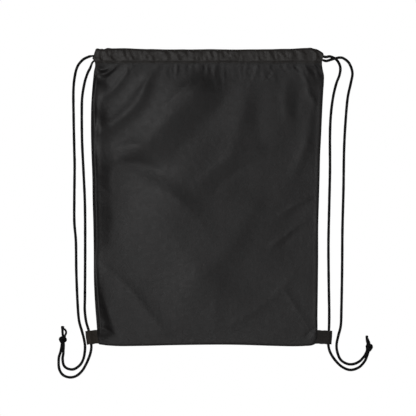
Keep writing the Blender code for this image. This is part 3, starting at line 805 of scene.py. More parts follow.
def webbing_material(name, base):
    """Ribbed webbing with a rib every 0.9 mm, the picks staggered rib by rib."""
    nodes = Nodes(name)
    rib_pitch, pick_pitch = 0.0009, 0.0011
    uvs, across, up = nodes.uv()
    rib = nodes.sine(up, rib_pitch)
    rib_number = nodes.math("FLOOR", nodes.times(up, 1.0 / rib_pitch))
    pick = nodes.math("SINE", nodes.plus(nodes.times(across, 2.0 * math.pi / pick_pitch),
                                         nodes.times(rib_number, math.pi)))
    high = nodes.plus(nodes.times(rib, 0.6), nodes.times(pick, 0.6))
    fuzz = nodes.noise(uvs, scale=1100.0, detail=3.0, rough=0.6)
    broad = nodes.noise(uvs, scale=90.0, detail=3.0, rough=0.5)
    colour = nodes.mix(nodes.remap(broad, low=0.3, high=0.7),
                       shade(base, 0.75), shade(base, 1.25))
    # painted shade in the hollows between ribs and picks
    rib_hollow_painted_shade = nodes.remap(high, low=-1.2, high=1.2, to_low=1.0, to_high=0.0)
    colour = nodes.mix(nodes.times(rib_hollow_painted_shade, 0.5), colour, shade(base, 0.35))
    rough = nodes.remap(fuzz, low=0.3, high=0.7, to_low=0.60, to_high=0.80)
    normal = nodes.bump(nodes.plus(high, nodes.times(fuzz, 0.6)),
                        strength=0.5, distance=0.00012)
    return nodes.finish(colour, rough, normal, specular=0.25, sheen=0.15, sheen_rough=0.5)


def thread_material(name, base):
    """Twisted sewing thread."""
    nodes = Nodes(name)
    uvs, around, along = nodes.uv()
    twist = nodes.plus(nodes.times(along, 2.0 * math.pi / 0.0007), nodes.times(around, 5200.0))
    ply = nodes.math("SINE", twist)
    fuzz = nodes.noise(uvs, scale=1500.0, detail=2.0, rough=0.6)
    # ply crests painted lighter and the grooves between them darker: painted highlight and
    # painted shade
    colour = nodes.mix(nodes.remap(ply, low=-1.0, high=1.0, to_high=0.7),
                       shade(base, 0.5), shade(base, 1.5))
    rough = nodes.remap(fuzz, low=0.3, high=0.7, to_low=0.40, to_high=0.60)
    normal = nodes.bump(nodes.plus(ply, fuzz), strength=0.5, distance=0.00008)
    return nodes.finish(colour, rough, normal, specular=0.45, sheen=0.05, sheen_rough=0.4)


FABRIC_BLACK = (0.0088, 0.0078, 0.0079)
FABRIC = {FRONT: cloth_material("woven_polyester_front", FABRIC_BLACK, offset=0.0),
          BACK: cloth_material("woven_polyester_back", FABRIC_BLACK, offset=3.0)}
CORD = braid_material("braided_cord_black", (0.0018, 0.0018, 0.0020))
# one webbing for both tabs: the left tab's copy is painted lighter than the right's, as painted
# light and painted shade
WEBBING = {"left": webbing_material("tab_webbing_left_painted_lighter", (0.0262, 0.0205, 0.0155)),
           "right": webbing_material("tab_webbing_right_painted_darker", (0.0150, 0.0124, 0.0108))}
THREAD = thread_material("hem_thread_black", (0.0070, 0.0070, 0.0072))
SERGING = thread_material("overlock_thread_black", (0.0150, 0.0150, 0.0152))


# ---------------------------------------------------------------------------
# Cloth pieces
# ---------------------------------------------------------------------------
def gather(obj):
    """Bakes the piece's placement into its mesh."""
    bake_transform(obj)


def thread_mesh(name, lines, radius, around, material, half, node, taper=True):
    """Many short lengths of thread as one mesh; with no half it rides the bag."""
    verts, faces, uvs, offset = [], [], [], 0
    angles = np.linspace(0.0, 2 * math.pi, around, endpoint=False)
    for line in lines:
        count = len(line)
        radii = np.full(count, radius)
        if taper:
            t = np.clip(np.linspace(0.0, 1.0, count), 0.02, 0.98)
            radii = radius * (0.55 + 0.45 * np.sin(math.pi * t) ** 0.4)
        rings, _ = tube_rings(line, radii[:, None], angles)
        verts.append(rings.reshape(-1, 3))
        uvs.append(uv_pairs(angles * radius, run_length(line)[:, None]).reshape(-1, 2))
        faces += (tube_quads(count, around) + offset).tolist()
        faces.append([offset + k for k in range(around - 1, -1, -1)])
        faces.append([offset + (count - 1) * around + k for k in range(around)])
        offset += count * around
    obj = add_mesh(name, placed(np.concatenate(verts)), faces)
    dress(obj, material, np.concatenate(uvs))
    if half:
        gather(obj)
    else:
        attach(obj, "bag")
    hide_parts(node)


def ridge_wear_and_highlight(points, normals):
    """0 to 1 where the cloth turns outwards: fold crests, seams and the hem's top. The cloth is
    painted paler there: wear along the seams and the hem's top, and a painted highlight on the
    fold crests.
    """
    turning = np.zeros(points.shape[:2])
    for axis in (0, 1):
        rows = np.moveaxis(points, axis, 0)
        row_normals = np.moveaxis(normals, axis, 0)
        bend = np.zeros(rows.shape[:2])
        ahead, behind = rows[2:] - rows[1:-1], rows[1:-1] - rows[:-2]
        ahead_length = np.linalg.norm(ahead, axis=-1)
        behind_length = np.linalg.norm(behind, axis=-1)
        turn = ahead / ahead_length[..., None] - behind / behind_length[..., None]
        bend[1:-1] = (-(turn * row_normals[1:-1]).sum(-1)
                      / (0.5 * (ahead_length + behind_length)))
        turning += np.moveaxis(bend, 0, axis)
    crest_wear_and_highlight = np.clip((turning - 60.0) / 600.0, 0.0, 1.0)
    crest_wear_and_highlight[0, :] = crest_wear_and_highlight[-1, :] = crest_wear_and_highlight[:, 0] = 0.5
    pad = np.pad(crest_wear_and_highlight, 1, mode="edge")
    return (pad[1:-1, 1:-1] * 2 + pad[:-2, 1:-1] + pad[2:, 1:-1]
            + pad[1:-1, :-2] + pad[1:-1, 2:]) / 6.0


def follow_corners(base_x, height):
    """The tunnel's ends slant with the upper corners of the bag."""
    share = (base_x - base_x[0]) / (base_x[-1] - base_x[0])
    near = smooth((np.abs(base_x) - 0.120) / 0.040)
    return (base_x + (edge_at(LEFT_EDGE, height) - base_x[0]) * (share < 0.5) * near
            + (edge_at(RIGHT_EDGE, height) - base_x[-1]) * (share >= 0.5) * near)


def hem_rows(side, sheet):
    """The hem from the stitch line up, over the top and down inside: grids of x,
    distance from the mid-plane, z, and length of cloth."""
    stitch_x, stitch_z, stitch_y, base_x, base_z = (part[:, STITCH_ROW] for part in sheet)
    back = int(side == BACK)
    wave = Noise(71 + back, 7, 26)
    pucker = Noise(73 + back, 3.2, 8)
    rise = Noise(75 + back, 16, 60)
    flat_mm = base_x / MM
    edge = np.minimum(base_x - edge_at(LEFT_EDGE, base_z), edge_at(RIGHT_EDGE, base_z) - base_x)
    outside_steps, over_steps, inside_steps = 14, 5, 9
    bend = 0.0006           # radius of the fold over the top
    over_length = 0.0019    # cloth length allowed for it

    top_x = base_x
    for _ in range(4):
        top = edge_at(TOP_EDGE, top_x)
        top_x = follow_corners(base_x, top)
    top = top + 0.00022 * rise(flat_mm, 0.0)
    if side == BACK:
        shoulders = smooth((base_x + 0.108) / 0.03) * smooth((0.140 - base_x) / 0.03)
        top = top + 0.00085 * shoulders - 0.00025

    rows = []
    for k in range(1, outside_steps + 1):
        t = k / outside_steps
        arch = math.sin(math.pi * t)
        z = stitch_z + (top - bend - stitch_z) * t
        x = follow_corners(base_x, z) + (stitch_x - base_x) * (1.0 - t)
        closing = min(1.0, max(0.0, (t - 0.66) / 0.34))
        puff = HEM_PRESS + ((HEM_PUFF - HEM_PRESS) * smooth(t / 0.20)
                            * math.sqrt(1.0 - closing ** 2))
        crease = (1.0 + 0.5 * smooth((np.abs(base_x) - 0.130) / 0.03)) * (
            0.00078 * wave(flat_mm + 7.0 * t, 3.0 + 14.0 * t) * (0.35 + 0.65 * arch)
            + 0.00046 * pucker(flat_mm * 1.15 + 4.0 * t, 3.0 * t) * (1.0 - t) ** 0.35
            + 0.00030 * pucker(flat_mm * 0.6 + 50.0, 14.0 * t) * arch)
        # pressed flat along its middle at the left end
        crease = crease - 0.0008 * bell(t - 0.46, 0.13) * (1.0 - smooth((base_x + 0.142) / 0.030))
        # the cords inside hold the cloth up, so it can stand out but not sink in
        crease = 1.25 * crease + 0.0001
        crease = np.where(crease > 0.0, 0.0013 * np.tanh(crease / 0.0013),
                          0.00032 * np.tanh(crease / 0.00032))
        start = stitch_y - TUNNEL_Y
        y = (TUNNEL_Y + (start + (puff - start) * smooth(t / 0.18))
             + np.where(edge > 0.0, crease, 0.0))
        rows.append((x, y, z, z))
    first_x = rows[0][0]
    last_x, last_y = rows[-1][:2]
    for k in range(1, over_steps + 1):
        angle = math.pi * k / over_steps
        y = (TUNNEL_Y + HEM_PRESS * math.cos(angle)
             + (last_y - TUNNEL_Y - HEM_PRESS) * (0.5 + 0.5 * math.cos(angle)))
        rows.append((last_x, y, top - bend + bend * math.sin(angle),
                     top + over_length * k / over_steps))
    for k in range(1, inside_steps + 1):
        t = 1.0 - k / inside_steps
        puff = 0.0004 + 0.0016 * smooth(t / 0.22) * (1.0 - smooth((t - 0.62) / 0.38))
        drawn_in = (0.0062 * smooth((np.abs(base_x) - 0.148) / 0.016)
                    * smooth((1.0 - t) / 0.15))
        x = last_x * t + (1.0 - t) * first_x - np.sign(base_x) * drawn_in
        y = TUNNEL_Y - puff - (0.0002 * smooth(t / 0.3) * (1 - t)
                               * np.abs(wave(flat_mm, 40.0 + 6 * t)))
        z = stitch_z + (top - bend - stitch_z) * t + 0.0003
        rows.append((x, y, z, top + over_length + (1.0 - t) * (top - stitch_z)))
    return [np.stack(part, 1) for part in zip(*rows)]


def hem_stitches(side, points, normals):
    """The lockstitch, one short length of thread after another."""
    pitch, gap, inset = 0.0030, 0.00020, 0.002
    along = run_length(points)
    total = along[-1]
    t = np.linspace(0.0, 1.0, 7)
    lift = 0.00017 * np.sin(math.pi * t) ** 0.5 - 0.00006
    pieces = {"left": [], "right": []}
    for k in range(int((total - 2 * inset) / pitch)):
        at = np.clip(inset + k * pitch + gap + t * (pitch - 2 * gap), 0.0, total)
        line = interpolate(at, along, points)
        out = interpolate(at, along, normals)
        out = out / np.linalg.norm(out, axis=-1, keepdims=True)
        half = "left" if line[3][0] < 0.0 else "right"
        zigzag = np.array([0, 0, 0.00012]) * ((-1) ** k)
        pieces[half].append(line + out * lift[:, None] + zigzag)
    name = SIDE_NAME[side]
    for half, lines in pieces.items():
        thread_mesh(f"{name}_hem_stitch_{half}", lines, radius=0.00022, around=7,
                    material=THREAD, half=half,
                    node=f"{name}_casing_stitch")


def build_side(side, sheet):
    """One side of the bag in two halves that meet on the centre line."""
    x, z, y, flat_x, flat_z = sheet
    hem = hem_rows(side, sheet)
    x, y, z, up = (np.concatenate([part[:, :STITCH_ROW + 1], more], 1)
                   for part, more in zip((x, y, z, flat_z), hem))
    across = np.concatenate([flat_x[:, :STITCH_ROW + 1],
                             np.repeat(flat_x[:, STITCH_ROW:STITCH_ROW + 1],
                                       hem[0].shape[1], 1)], 1)
    points = np.stack([x, side * y, z], -1)
    normals = grid_normals(points)
    centre = len(points) // 2
    if normals[centre, STITCH_ROW // 2][1] * side < 0:
        normals = -normals
    crest_wear_and_highlight = ridge_wear_and_highlight(points, normals)
    uvs = uv_pairs(across, up)
    name = SIDE_NAME[side]
    for half, part in (("left", slice(0, centre + 1)), ("right", slice(centre, len(points)))):
        obj = shell(f"{name}_cloth_{half}", points[part], normals[part], 0.00034,
                    FABRIC[side], uvs[part])
        # the paling of crests, seams and the hem's top: wear, and a painted highlight on the fold
        # crests
        wear_and_highlight_layer = obj.data.attributes.new("crest_wear_and_highlight", "FLOAT", "POINT")
        both_faces = np.tile(crest_wear_and_highlight[part].reshape(-1), 2)
        wear_and_highlight_layer.data.foreach_set("value", both_faces.astype(np.float32))
        gather(obj)
        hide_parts(f"{name}_panel", f"{name}_casing")
    hem_stitches(side, points[:, STITCH_ROW], normals[:, STITCH_ROW])


# ---------------------------------------------------------------------------
# Overlocked seam allowances inside the bag: cloth edge and looped thread
# ---------------------------------------------------------------------------
def seam(place, outer, inward, half=None):
    """outer: line of the seam; inward: unit vector towards the inside."""
    width, loop_step = 0.0052, 0.0026
    line, along = resample(outer, 0.0016)
    inward = np.array(inward)
    ripple = (0.00010 * np.sin(along * 2 * math.pi / 0.013)
              + 0.00006 * np.sin(along * 2 * math.pi / 0.0047))
    columns = []
    for share in (0.0, 0.25, 0.5, 0.75, 1.0):
        column = line + inward * (width * share)
        column[:, 1] += ripple * share
        columns.append(column)
    strip = np.stack(columns, 1)
    strip[..., 1] -= 0.00022
    normals = np.zeros_like(strip)
    normals[..., 1] = -1.0
    uvs = uv_pairs(along[:, None], np.linspace(0, width, 5))
    obj = shell(f"{place}_seam_edge", strip, normals, 0.00044, FABRIC[BACK],
                uvs)
    node = f"{place}_side_seam" if half else f"{place}_seam"
    if half:
        gather(obj)
    else:
        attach(obj, "bag")
    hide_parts(node)

    # one loop of thread: (share of the step, share of the reach inwards)
    loop = np.array([(0.0, 0.00), (0.25, 0.55), (0.5, 1.0), (0.75, 0.55), (1.0, 0.0)])
    loops = []
    for k in range(int((along[-1] - 0.003) / loop_step)):
        for face in (-1.0, 1.0):
            at = 0.001 + k * loop_step + loop[:, 0] * loop_step
            points = interpolate(at, along, line)
            points = points + inward * (0.0004 + 0.0046 * loop[:, 1])[:, None]
            points[:, 1] += face * 0.00032
            loops.append(points)
    thread_mesh(f"{place}_seam_overlock", loops, radius=0.00013, around=5, material=SERGING,
                half=half, node=node, taper=False)


def build_seams():
    inset = 0.0011
    z = np.linspace(0.013, 0.388, 60)
    for half, table in (("left", LEFT_EDGE), ("right", RIGHT_EDGE)):
        sign = HALF_SIGN[half]
        outer = np.stack([edge_at(table, z) - sign * inset, 0 * z, z], -1)
        seam(half, outer, inward=[-sign, 0.0, 0.0], half=half)
    x = np.linspace(-0.150, 0.150, 60)
    outer = np.stack([x, 0 * x, edge_at(BOTTOM_EDGE, x) + inset], -1)
    seam("bottom", outer, inward=[0.0, 0.0, 1.0])


sheets = cloth_sheets()
build_side(FRONT, sheets[FRONT])
build_side(BACK, sheets[BACK])
build_seams()


# ---------------------------------------------------------------------------
# Cords, in millimetres
# ---------------------------------------------------------------------------
UPPER, LOWER = 429.0, 423.2         # z of the two lanes inside a tunnel
REACH = MOUTH_X / MM - 1.6          # x where a bight begins to turn
AROUND, STEP = 28, 0.00045          # points round a cord; metres between its rings

# Strands from the tunnel down the strap and up to the knot: (x, y, z)
LEFT_OUTER = [
    (-176.2, -4.0, 427.3), (-183.5, -3.9, 423.4), (-191.0, -3.6, 414.4), (-195.1, -3.3, 401.0),
    (-197.5, -3.0, 378.0), (-197.2, -2.6, 334.0), (-196.3, -2.2, 290.0), (-195.8, -2.0, 266.0),
    (-196.3, -2.0, 216.0), (-196.2, -2.0, 183.0), (-193.9, -2.0, 154.0), (-193.3, -2.0, 110.0),
    (-191.5, -2.0, 65.0), (-189.4, -2.0, 38.5), (-185.0, -2.0, 22.0), (-182.0, -2.0, 10.4),
    (-180.4, -2.0, -1.0), (-181.2, -2.0, -11.5), (-183.2, -2.0, -20.0), (-188.0, -2.0, -28.2),
    (-196.8, -2.0, -34.2), (-205.7, -1.9, -33.6), (-211.8, -1.6, -28.6), (-213.6, -1.4, -19.0),
    (-212.6, -1.5, -11.5), (-212.4, -1.8, -6.0), (-212.0, -1.7, 1.0), (-212.6, -0.6, 6.5)]
LEFT_INNER = [
    (-169.3, 4.0, 420.2), (-173.0, 4.0, 411.4), (-176.9, 4.0, 403.6), (-181.2, 3.9, 390.0),
    (-184.6, 3.5, 370.0), (-185.4, 3.0, 350.0), (-185.0, 2.6, 305.0), (-182.9, 2.2, 260.0),
    (-180.7, 1.6, 209.0), (-180.3, 1.2, 145.0), (-180.7, 0.8, 74.0), (-180.9, 0.5, 53.0),
    (-178.8, 0.2, 36.0), (-175.2, 0.0, 23.5), (-172.6, 0.0, 11.0), (-171.1, 0.0, -1.0),
    (-172.6, 0.1, -11.0), (-175.6, 0.3, -19.5), (-179.2, 0.6, -27.4), (-185.0, 0.9, -37.0),
    (-193.9, 1.0, -44.6), (-204.2, 1.0, -46.4), (-213.9, 1.0, -42.3), (-219.0, 1.0, -32.6),
    (-219.4, 1.1, -18.5), (-217.6, 1.5, -11.5), (-216.2, 1.7, -6.5), (-215.0, 1.7, 1.0),
    (-214.6, 0.6, 6.5)]
RIGHT_INNER = [
    (176.2, 4.0, 427.9), (182.0, 4.0, 428.6), (188.8, 4.0, 426.0), (194.2, 3.9, 420.8),
    (197.5, 3.8, 412.0), (196.2, 3.6, 401.0), (191.4, 3.3, 388.0), (186.8, 3.0, 368.5),
    (183.5, 2.6, 343.0), (182.1, 2.3, 312.0), (182.1, 2.0, 260.0), (181.0, 1.6, 209.0),
    (179.8, 1.2, 150.0), (180.3, 0.8, 90.0), (180.9, 0.4, 53.0), (180.7, 0.0, 30.0),
    (179.9, 0.0, 13.0), (179.7, 0.0, 1.0), (182.4, 0.0, -9.4), (189.4, 0.8, -20.6),
    (199.8, 1.1, -30.8), (212.2, 1.2, -35.5), (224.7, 1.2, -31.8), (233.2, 1.4, -23.0),
    (236.8, 1.9, -15.0), (238.8, 1.9, -9.0), (239.2, 1.0, -4.0)]
RIGHT_OUTER = [
    (176.2, -4.0, 421.6), (183.6, -4.1, 423.7), (189.6, -4.2, 425.4), (196.4, -4.2, 426.6),
    (202.4, -4.0, 425.2), (210.4, -3.8, 418.0), (215.1, -3.5, 404.0), (212.5, -3.3, 388.0),
    (208.1, -3.0, 367.0), (205.1, -2.6, 334.0), (202.8, -2.2, 290.0), (201.9, -2.0, 231.0),
    (200.4, -2.0, 172.0), (199.9, -2.0, 112.0), (198.9, -2.0, 56.0), (198.0, -2.0, 31.0),
    (194.5, -2.0, 16.0), (191.8, -2.0, 3.0), (192.6, -2.0, -8.0), (197.4, -1.8, -19.8),
    (206.5, -1.5, -26.0), (216.1, -1.3, -26.8), (225.0, -1.3, -23.1), (231.2, -1.7, -17.0),
    (235.6, -1.9, -10.0), (237.6, -1.0, -4.0)]
# Half of a bight: (x past REACH, y in from the tunnel's middle, share of the way
# from its lane to the middle height)
BIGHT_HALF = [(-9.0, 0.0, 0.0), (-4.0, 0.0, 0.0), (-1.4, 0.35, 0.12), (0.9, 2.0, 0.50)]


def braid(angle, along):
    """Height of a braided sheath, 0 to 1: two families of strands going round
    in opposite directions, each over two and under two of the other."""
    carriers, pitch = 8, 0.0140
    turn = angle * carriers / (2 * math.pi)
    run = along * carriers / pitch
    with_turn, against = turn + run, turn - run

    def strand(place):
        part = place - np.floor(place)
        return np.sqrt(np.clip(1 - (2 * part - 1) ** 2, 0, 1))

    first, second = strand(with_turn), strand(against)
    over = np.mod(np.floor(with_turn) - np.floor(against), 2) < 1
    return np.where(over, first * (0.62 + 0.38 * second), second * (0.62 + 0.38 * first))


class Cord:
    """A whole cord worked out once, so that its pieces meet ring for ring."""

    def __init__(self, points, phase, radius=CORD_RADIUS, flare=0.0):
        self.centre, along = resample(catmull(points) * MM, STEP)
        angles = np.linspace(0.0, 2 * math.pi, AROUND, endpoint=False)
        # a soft cord is never quite round or even
        lumps = (1.0 + 0.018 * np.sin(along * 2 * math.pi / 0.031 + phase)
                 + 0.012 * np.sin(along * 2 * math.pi / 0.0127))
        sheath = braid(angles[None, :] + phase, along[:, None])
        radii = radius * lumps[:, None] - 0.00022 * (1.0 - sheath)
        # thinner where the tunnel grips it, thicker at a flared end
        in_hem = self.centre[:, 2] > 0.35
        grip = smooth((0.1745 - np.abs(self.centre[:, 0])) / 0.005) * in_hem
        flaring = flare * smooth((along - along[-1] + 0.0055) / 0.004)
        radii = radii * (1.0 - 0.27 * grip + flaring)[:, None]
        self.rings, self.ways = tube_rings(self.centre, radii, angles)
        self.uvs = uv_pairs(angles * radius, along[:, None])
        self.last = len(self.centre) - 1

    def piece(self, name, first, last, cut_end=False):
        """The cord from one ring to another; a cut end is melted to a low dome."""
        rings = self.rings[first:last + 1]
        verts = [rings.reshape(-1, 3)]
        uvs = [self.uvs[first:last + 1].reshape(-1, 2)]
        faces = tube_quads(len(rings), AROUND).tolist()
        count = len(rings) * AROUND
        for at, base, turn in ((first, 0, -1.0), (last, count - AROUND, 1.0)):
            domed = cut_end and turn > 0
            high = 0.0007 if domed else 0.0
            centre = self.centre[at]
            if domed:
                verts.append(centre + (self.rings[at] - centre) * 0.62
                             + self.ways[at] * turn * high * 0.75)
                uvs.append(self.uvs[at] * np.array([0.62, 1.0]))
                for k in range(AROUND):
                    beside = (k + 1) % AROUND
                    faces.append((base + k, base + beside, count + beside, count + k))
                base = count
                count += AROUND
            verts.append((centre + self.ways[at] * turn * high)[None])
            uvs.append(self.uvs[at][:1])
            for k in range(AROUND):
                face = (base + k, base + (k + 1) % AROUND, count)
                faces.append(face if turn > 0 else face[::-1])
            count += 1
        obj = add_mesh(name, placed(np.concatenate(verts)), faces)
        return dress(obj, CORD, np.concatenate(uvs))


def cord_blend(obj):
    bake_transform(obj)


def lane_run(side, lane, start, end):
    """Points along a lane inside a tunnel."""
    return [(start + (end - start) * k / 22, side * TUNNEL_Y / MM, lane) for k in range(23)]


def bight_points(sign, front_lane, back_lane):
    """The turn of a cord from the front tunnel into the back one."""
    middle = (front_lane + back_lane) / 2.0

    def arm(side, lane):
        return [(sign * (REACH + past), side * (TUNNEL_Y / MM - inward),
                 lane + (middle - lane) * share) for past, inward, share in BIGHT_HALF]

    return (arm(FRONT, front_lane) + [(sign * (REACH + 1.7), 0.0, middle)]
            + arm(BACK, back_lane)[::-1])


def strap_cords(half, strands):
    """Both strands of one strap, from inside the tunnels to the knot.
    strands: (lane, x where the run in the tunnel ends, points beyond it)"""
    sign = HALF_SIGN[half]
    kinds = (("outer", "front_run", FRONT, 0.7), ("inner", "back_run", BACK, 2.1))
    for (strand, node, side, phase), (lane, run_end, beyond) in zip(kinds, strands):
        cord = Cord(lane_run(side, lane, -sign * (REACH - 5.0), run_end) + beyond, phase)
        x, z = cord.centre[:, 0] / MM, cord.centre[:, 2] / MM
        leave = int(np.nonzero(sign * x > 173.5)[0][0])
        past = np.arange(len(x)) > leave
        tab_at = int(np.nonzero((sign * x > 150.0) & (z < 3.5) & past)[0][0])

        obj = cord.piece(f"{half}_cord_{node}_braid", 0, leave)
        cord_blend(obj)
        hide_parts(f"{half}_cord_{node}")

        obj = cord.piece(f"{half}_strap_{strand}", leave, tab_at)
        # from the very point where the strand leaves the tunnel
        cord_blend(obj)
        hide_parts(f"{half}_strap_{strand}_strand")

        obj = cord.piece(f"{half}_tail_{strand}", tab_at, cord.last)
        # the stretch that rises again to the knot belongs wholly to the tail
        cord_blend(obj)
        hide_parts(f"{half}_tail_{strand}_strand")


def cord_bight(half, at_half, front_lane, back_lane):
    """A strap's cord turns at the opposite end of the mouth."""
    sign = HALF_SIGN[at_half]
    cord = Cord(bight_points(sign, front_lane, back_lane), phase=1.3)
    inside = np.nonzero(sign * cord.centre[:, 0] / MM > REACH - 5.4)[0]
    obj = cord.piece(f"{half}_cord_bight_loop", int(inside[0]), int(inside[-1]))
    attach(obj, f"{at_half}_mouth")
    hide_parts(f"{half}_cord_bight")


strap_cords("left", ((UPPER, -169.0, LEFT_OUTER), (LOWER, -163.5, LEFT_INNER)))
strap_cords("right", ((LOWER, 169.0, RIGHT_OUTER), (UPPER, 169.0, RIGHT_INNER)))
cord_bight("right", "left", LOWER, UPPER)
cord_bight("left", "right", UPPER, LOWER)


# ---------------------------------------------------------------------------
# Knots and cut ends
# ---------------------------------------------------------------------------
def overhand(centre, ring, tube, deep, turn, lean, tall):
    """Centre line of a drawn-up overhand knot, in millimetres: three lobes that
    pass over and under one another."""
    t = np.linspace(0.0, 2 * math.pi, 400)
    radius = ring + tube * np.cos(3 * t)
    points = np.stack([radius * np.cos(2 * t), deep * np.sin(3 * t),
                       tall * radius * np.sin(2 * t)], -1)
    cos, sin = math.cos(turn), math.sin(turn)
    points = points @ np.array([[cos, 0, sin], [0, 1, 0], [-sin, 0, cos]])
    cos, sin = math.cos(lean), math.sin(lean)
    points = points @ np.array([[cos, sin, 0], [-sin, cos, 0], [0, 0, 1]])
    return points + np.array(centre)


# the two turns of a knot, the second lying in the hollows of the first:
# (name, share of the ring, tube, deep, more turn, more lean, phase, cord radius)
KNOT_TURNS = [("wraps", 1.0, 1.5, 2.4, 0.0, 0.0, 0.3, 0.00196),
              ("second_turn", 0.86, 1.1, 2.0, 0.55, 0.5, 1.3, 0.00192)]


def tied(half, centre, ring, turn, lean, tall, ends):
    """A knot and its two cut ends: (cord radius, flare, points)"""
    for name, share, tube, deep, more_turn, more_lean, phase, radius in KNOT_TURNS:
        line = overhand(centre, ring * share, tube, deep, turn + more_turn,
                        lean + more_lean, tall)
        cord = Cord(line, phase, radius)
        obj = cord.piece(f"{half}_knot_{name}", 0, cord.last)
        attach(obj, f"{half}_tail")
        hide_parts(f"{half}_knot")
    for k, (radius, flare, points) in enumerate(ends):
        cord = Cord(points, 0.4 + k, radius, flare)
        node = f"{half}_cord_end_{k + 1}"
        obj = cord.piece(f"{node}_cut", 0, cord.last, cut_end=True)
        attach(obj, f"{half}_tail")
        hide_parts(node)


tied("left", centre=(-213.4, 0.0, 8.9), ring=2.8, turn=0.35, lean=0.2, tall=1.0, ends=[
    (0.00190, 0.36, [(-213.4, 0.6, 8.0), (-213.0, 0.8, 12.5), (-213.6, 0.9, 17.8),
                     (-213.9, 0.9, 23.0), (-213.6, 0.9, 29.0)]),
    (0.00166, 0.0, [(-211.0, -0.8, 9.5), (-210.6, -0.9, 13.4), (-209.9, -0.8, 15.8),
                    (-208.7, -0.7, 18.4), (-208.5, -0.5, 21.0), (-210.0, -0.3, 24.0),
                    (-212.4, -0.1, 25.2)])])
tied("right", centre=(240.1, 0.0, -1.9), ring=2.3, turn=0.1, lean=-0.3, tall=1.38, ends=[
    (0.00182, 0.16, [(239.2, -0.6, -1.5), (237.8, -0.9, 3.6), (236.6, -0.9, 8.6),
                     (236.6, -0.9, 15.0)]),
    (0.00172, 0.0, [(239.8, 0.9, -1.5), (240.4, 1.6, 3.8), (239.0, 1.8, 7.6),
                    (237.8, 1.8, 10.6)])])


# ---------------------------------------------------------------------------
# Webbing tabs, folded over the cord and caught in the side seam
# ---------------------------------------------------------------------------
def tab_normals(points):
    """Grid normals, turned so that the tab's front leaf faces -Y."""
    normals = grid_normals(points)
    return -normals if normals[5, 22, 1] > 0 else normals


def tab(half, length, cord_at, tilt):
    """length: out from the seam; cord_at: where the tab bulges over its cord."""
    sign = HALF_SIGN[half]
    root, middle_z, tall = 0.1632, 0.0127, 0.0200
    caught = 0.0034         # how far it runs in behind the seam
    x = -caught + np.linspace(0.0, 1.0, 40) * (length + caught)
    y = 0.00058 + 0.00200 * bell(x - cord_at, 0.0036) + 0.0004 * smooth((x - 0.0007) / 0.006)
    # rounded to nothing at the fold
    far = (x - 0.90 * length) / (0.10 * length)
    y = np.where(far > 0, y * np.sqrt(np.clip(1.0 - far**2, 0.0, 1.0)), y)
    out = np.concatenate([x, x[-2::-1]])
    y = np.concatenate([-y[:-1], [0.0], y[-2::-1]])
    along = run_length(np.stack([out, y], -1))
    out, y = out[:, None], y[:, None]
    across = np.linspace(-1.0, 1.0, 45)
    # ribs of the weave, and a selvedge bead along the top and bottom
    rib = 0.00006 * np.sin(across * tall / 2 / 0.00045 * math.pi)
    bead = 0.00018 * bell(1.0 - np.abs(across), 0.05)
    up = across * tall / 2.0 + 0.0002 * np.sin(out * 700.0) * np.abs(across)
    out = out + 0.0003 * np.sin(across * 2.4 + 1.0) * smooth((out - 0.004) / 0.01) * 0.6
    x = sign * (root + out * math.cos(tilt) + up * math.sin(tilt))
    z = middle_z + up * math.cos(tilt) - (out - length / 2.0) * math.sin(tilt)
    points = np.stack(np.broadcast_arrays(x, y, z), -1)
    points = points + tab_normals(points) * (rib + bead)[:, None]
    obj = shell(f"{half}_webbing_tab", points, tab_normals(points), 0.00085, WEBBING[half],
                uv_pairs(along[:, None], across * tall / 2))
    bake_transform(obj)
    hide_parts(f"{half}_tab")


tab("left", length=0.0160, cord_at=0.0101, tilt=math.radians(6.0))
tab("right", length=0.0218, cord_at=0.0166, tilt=math.radians(3.0))


# ---------------------------------------------------------------------------
# Floor, lights, world and camera
# ---------------------------------------------------------------------------
def floor_material():
    """Pale paint that fades to plain white away from the middle."""
    nodes = Nodes("studio_floor")
    place = nodes.add("ShaderNodeTexCoord").outputs["Object"]
    level = nodes.vector("MULTIPLY", place, (1.0, 1.0, 0.0)).outputs[0]
    distance = nodes.vector("LENGTH", level).outputs["Value"]
    fade = nodes.remap(distance, low=1.2, high=3.2)
    paint = nodes.add("ShaderNodeBsdfPrincipled", Roughness=0.7,
                      **{"Base Color": (0.86, 0.86, 0.86, 1.0)})
    # lifted for the camera alone so that it stays pale without throwing light
    # up at the bag
    path = nodes.add("ShaderNodeLightPath")
    lift = nodes.add("ShaderNodeEmission",
                     Strength=nodes.times(path.outputs["Is Camera Ray"], 0.56))
    both = nodes.add("ShaderNodeAddShader")
    nodes.put(both.inputs[0], paint.outputs[0])
    nodes.put(both.inputs[1], lift.outputs[0])
    glow = nodes.add("ShaderNodeEmission", Color=(1.0, 1.0, 1.0, 1.0))
    mix = nodes.add("ShaderNodeMixShader")
    for k, value in enumerate((fade, both.outputs[0], glow.outputs[0])):
        nodes.put(mix.inputs[k], value)
    nodes.put(nodes.out.inputs[0], mix.outputs[0])
    return nodes.material


def add_floor():
    """A round floor 0.45 m under the bag."""
    rings, spokes, reach = 24, 96, 3.3
    verts = [(0.0, 0.0, 0.0)]
    for ring in range(1, rings + 1):
        radius = reach * ring / rings
        for k in range(spokes):
            angle = 2 * math.pi * k / spokes
            verts.append((radius * math.cos(angle), radius * math.sin(angle), 0.0))
    faces = [(0, 1 + k, 1 + (k + 1) % spokes) for k in range(spokes)]
    for ring in range(1, rings):
        first = 1 + (ring - 1) * spokes
        for k in range(spokes):
            here, beside = first + k, first + (k + 1) % spokes
            faces.append((here, here + spokes, beside + spokes, beside))
    drop = np.array([0, 0, SHIFT[2] - 0.45])
    obj = add_mesh("studio_floor", np.array(verts) + drop, faces, shade_smooth=False)
    obj.data.materials.append(floor_material())


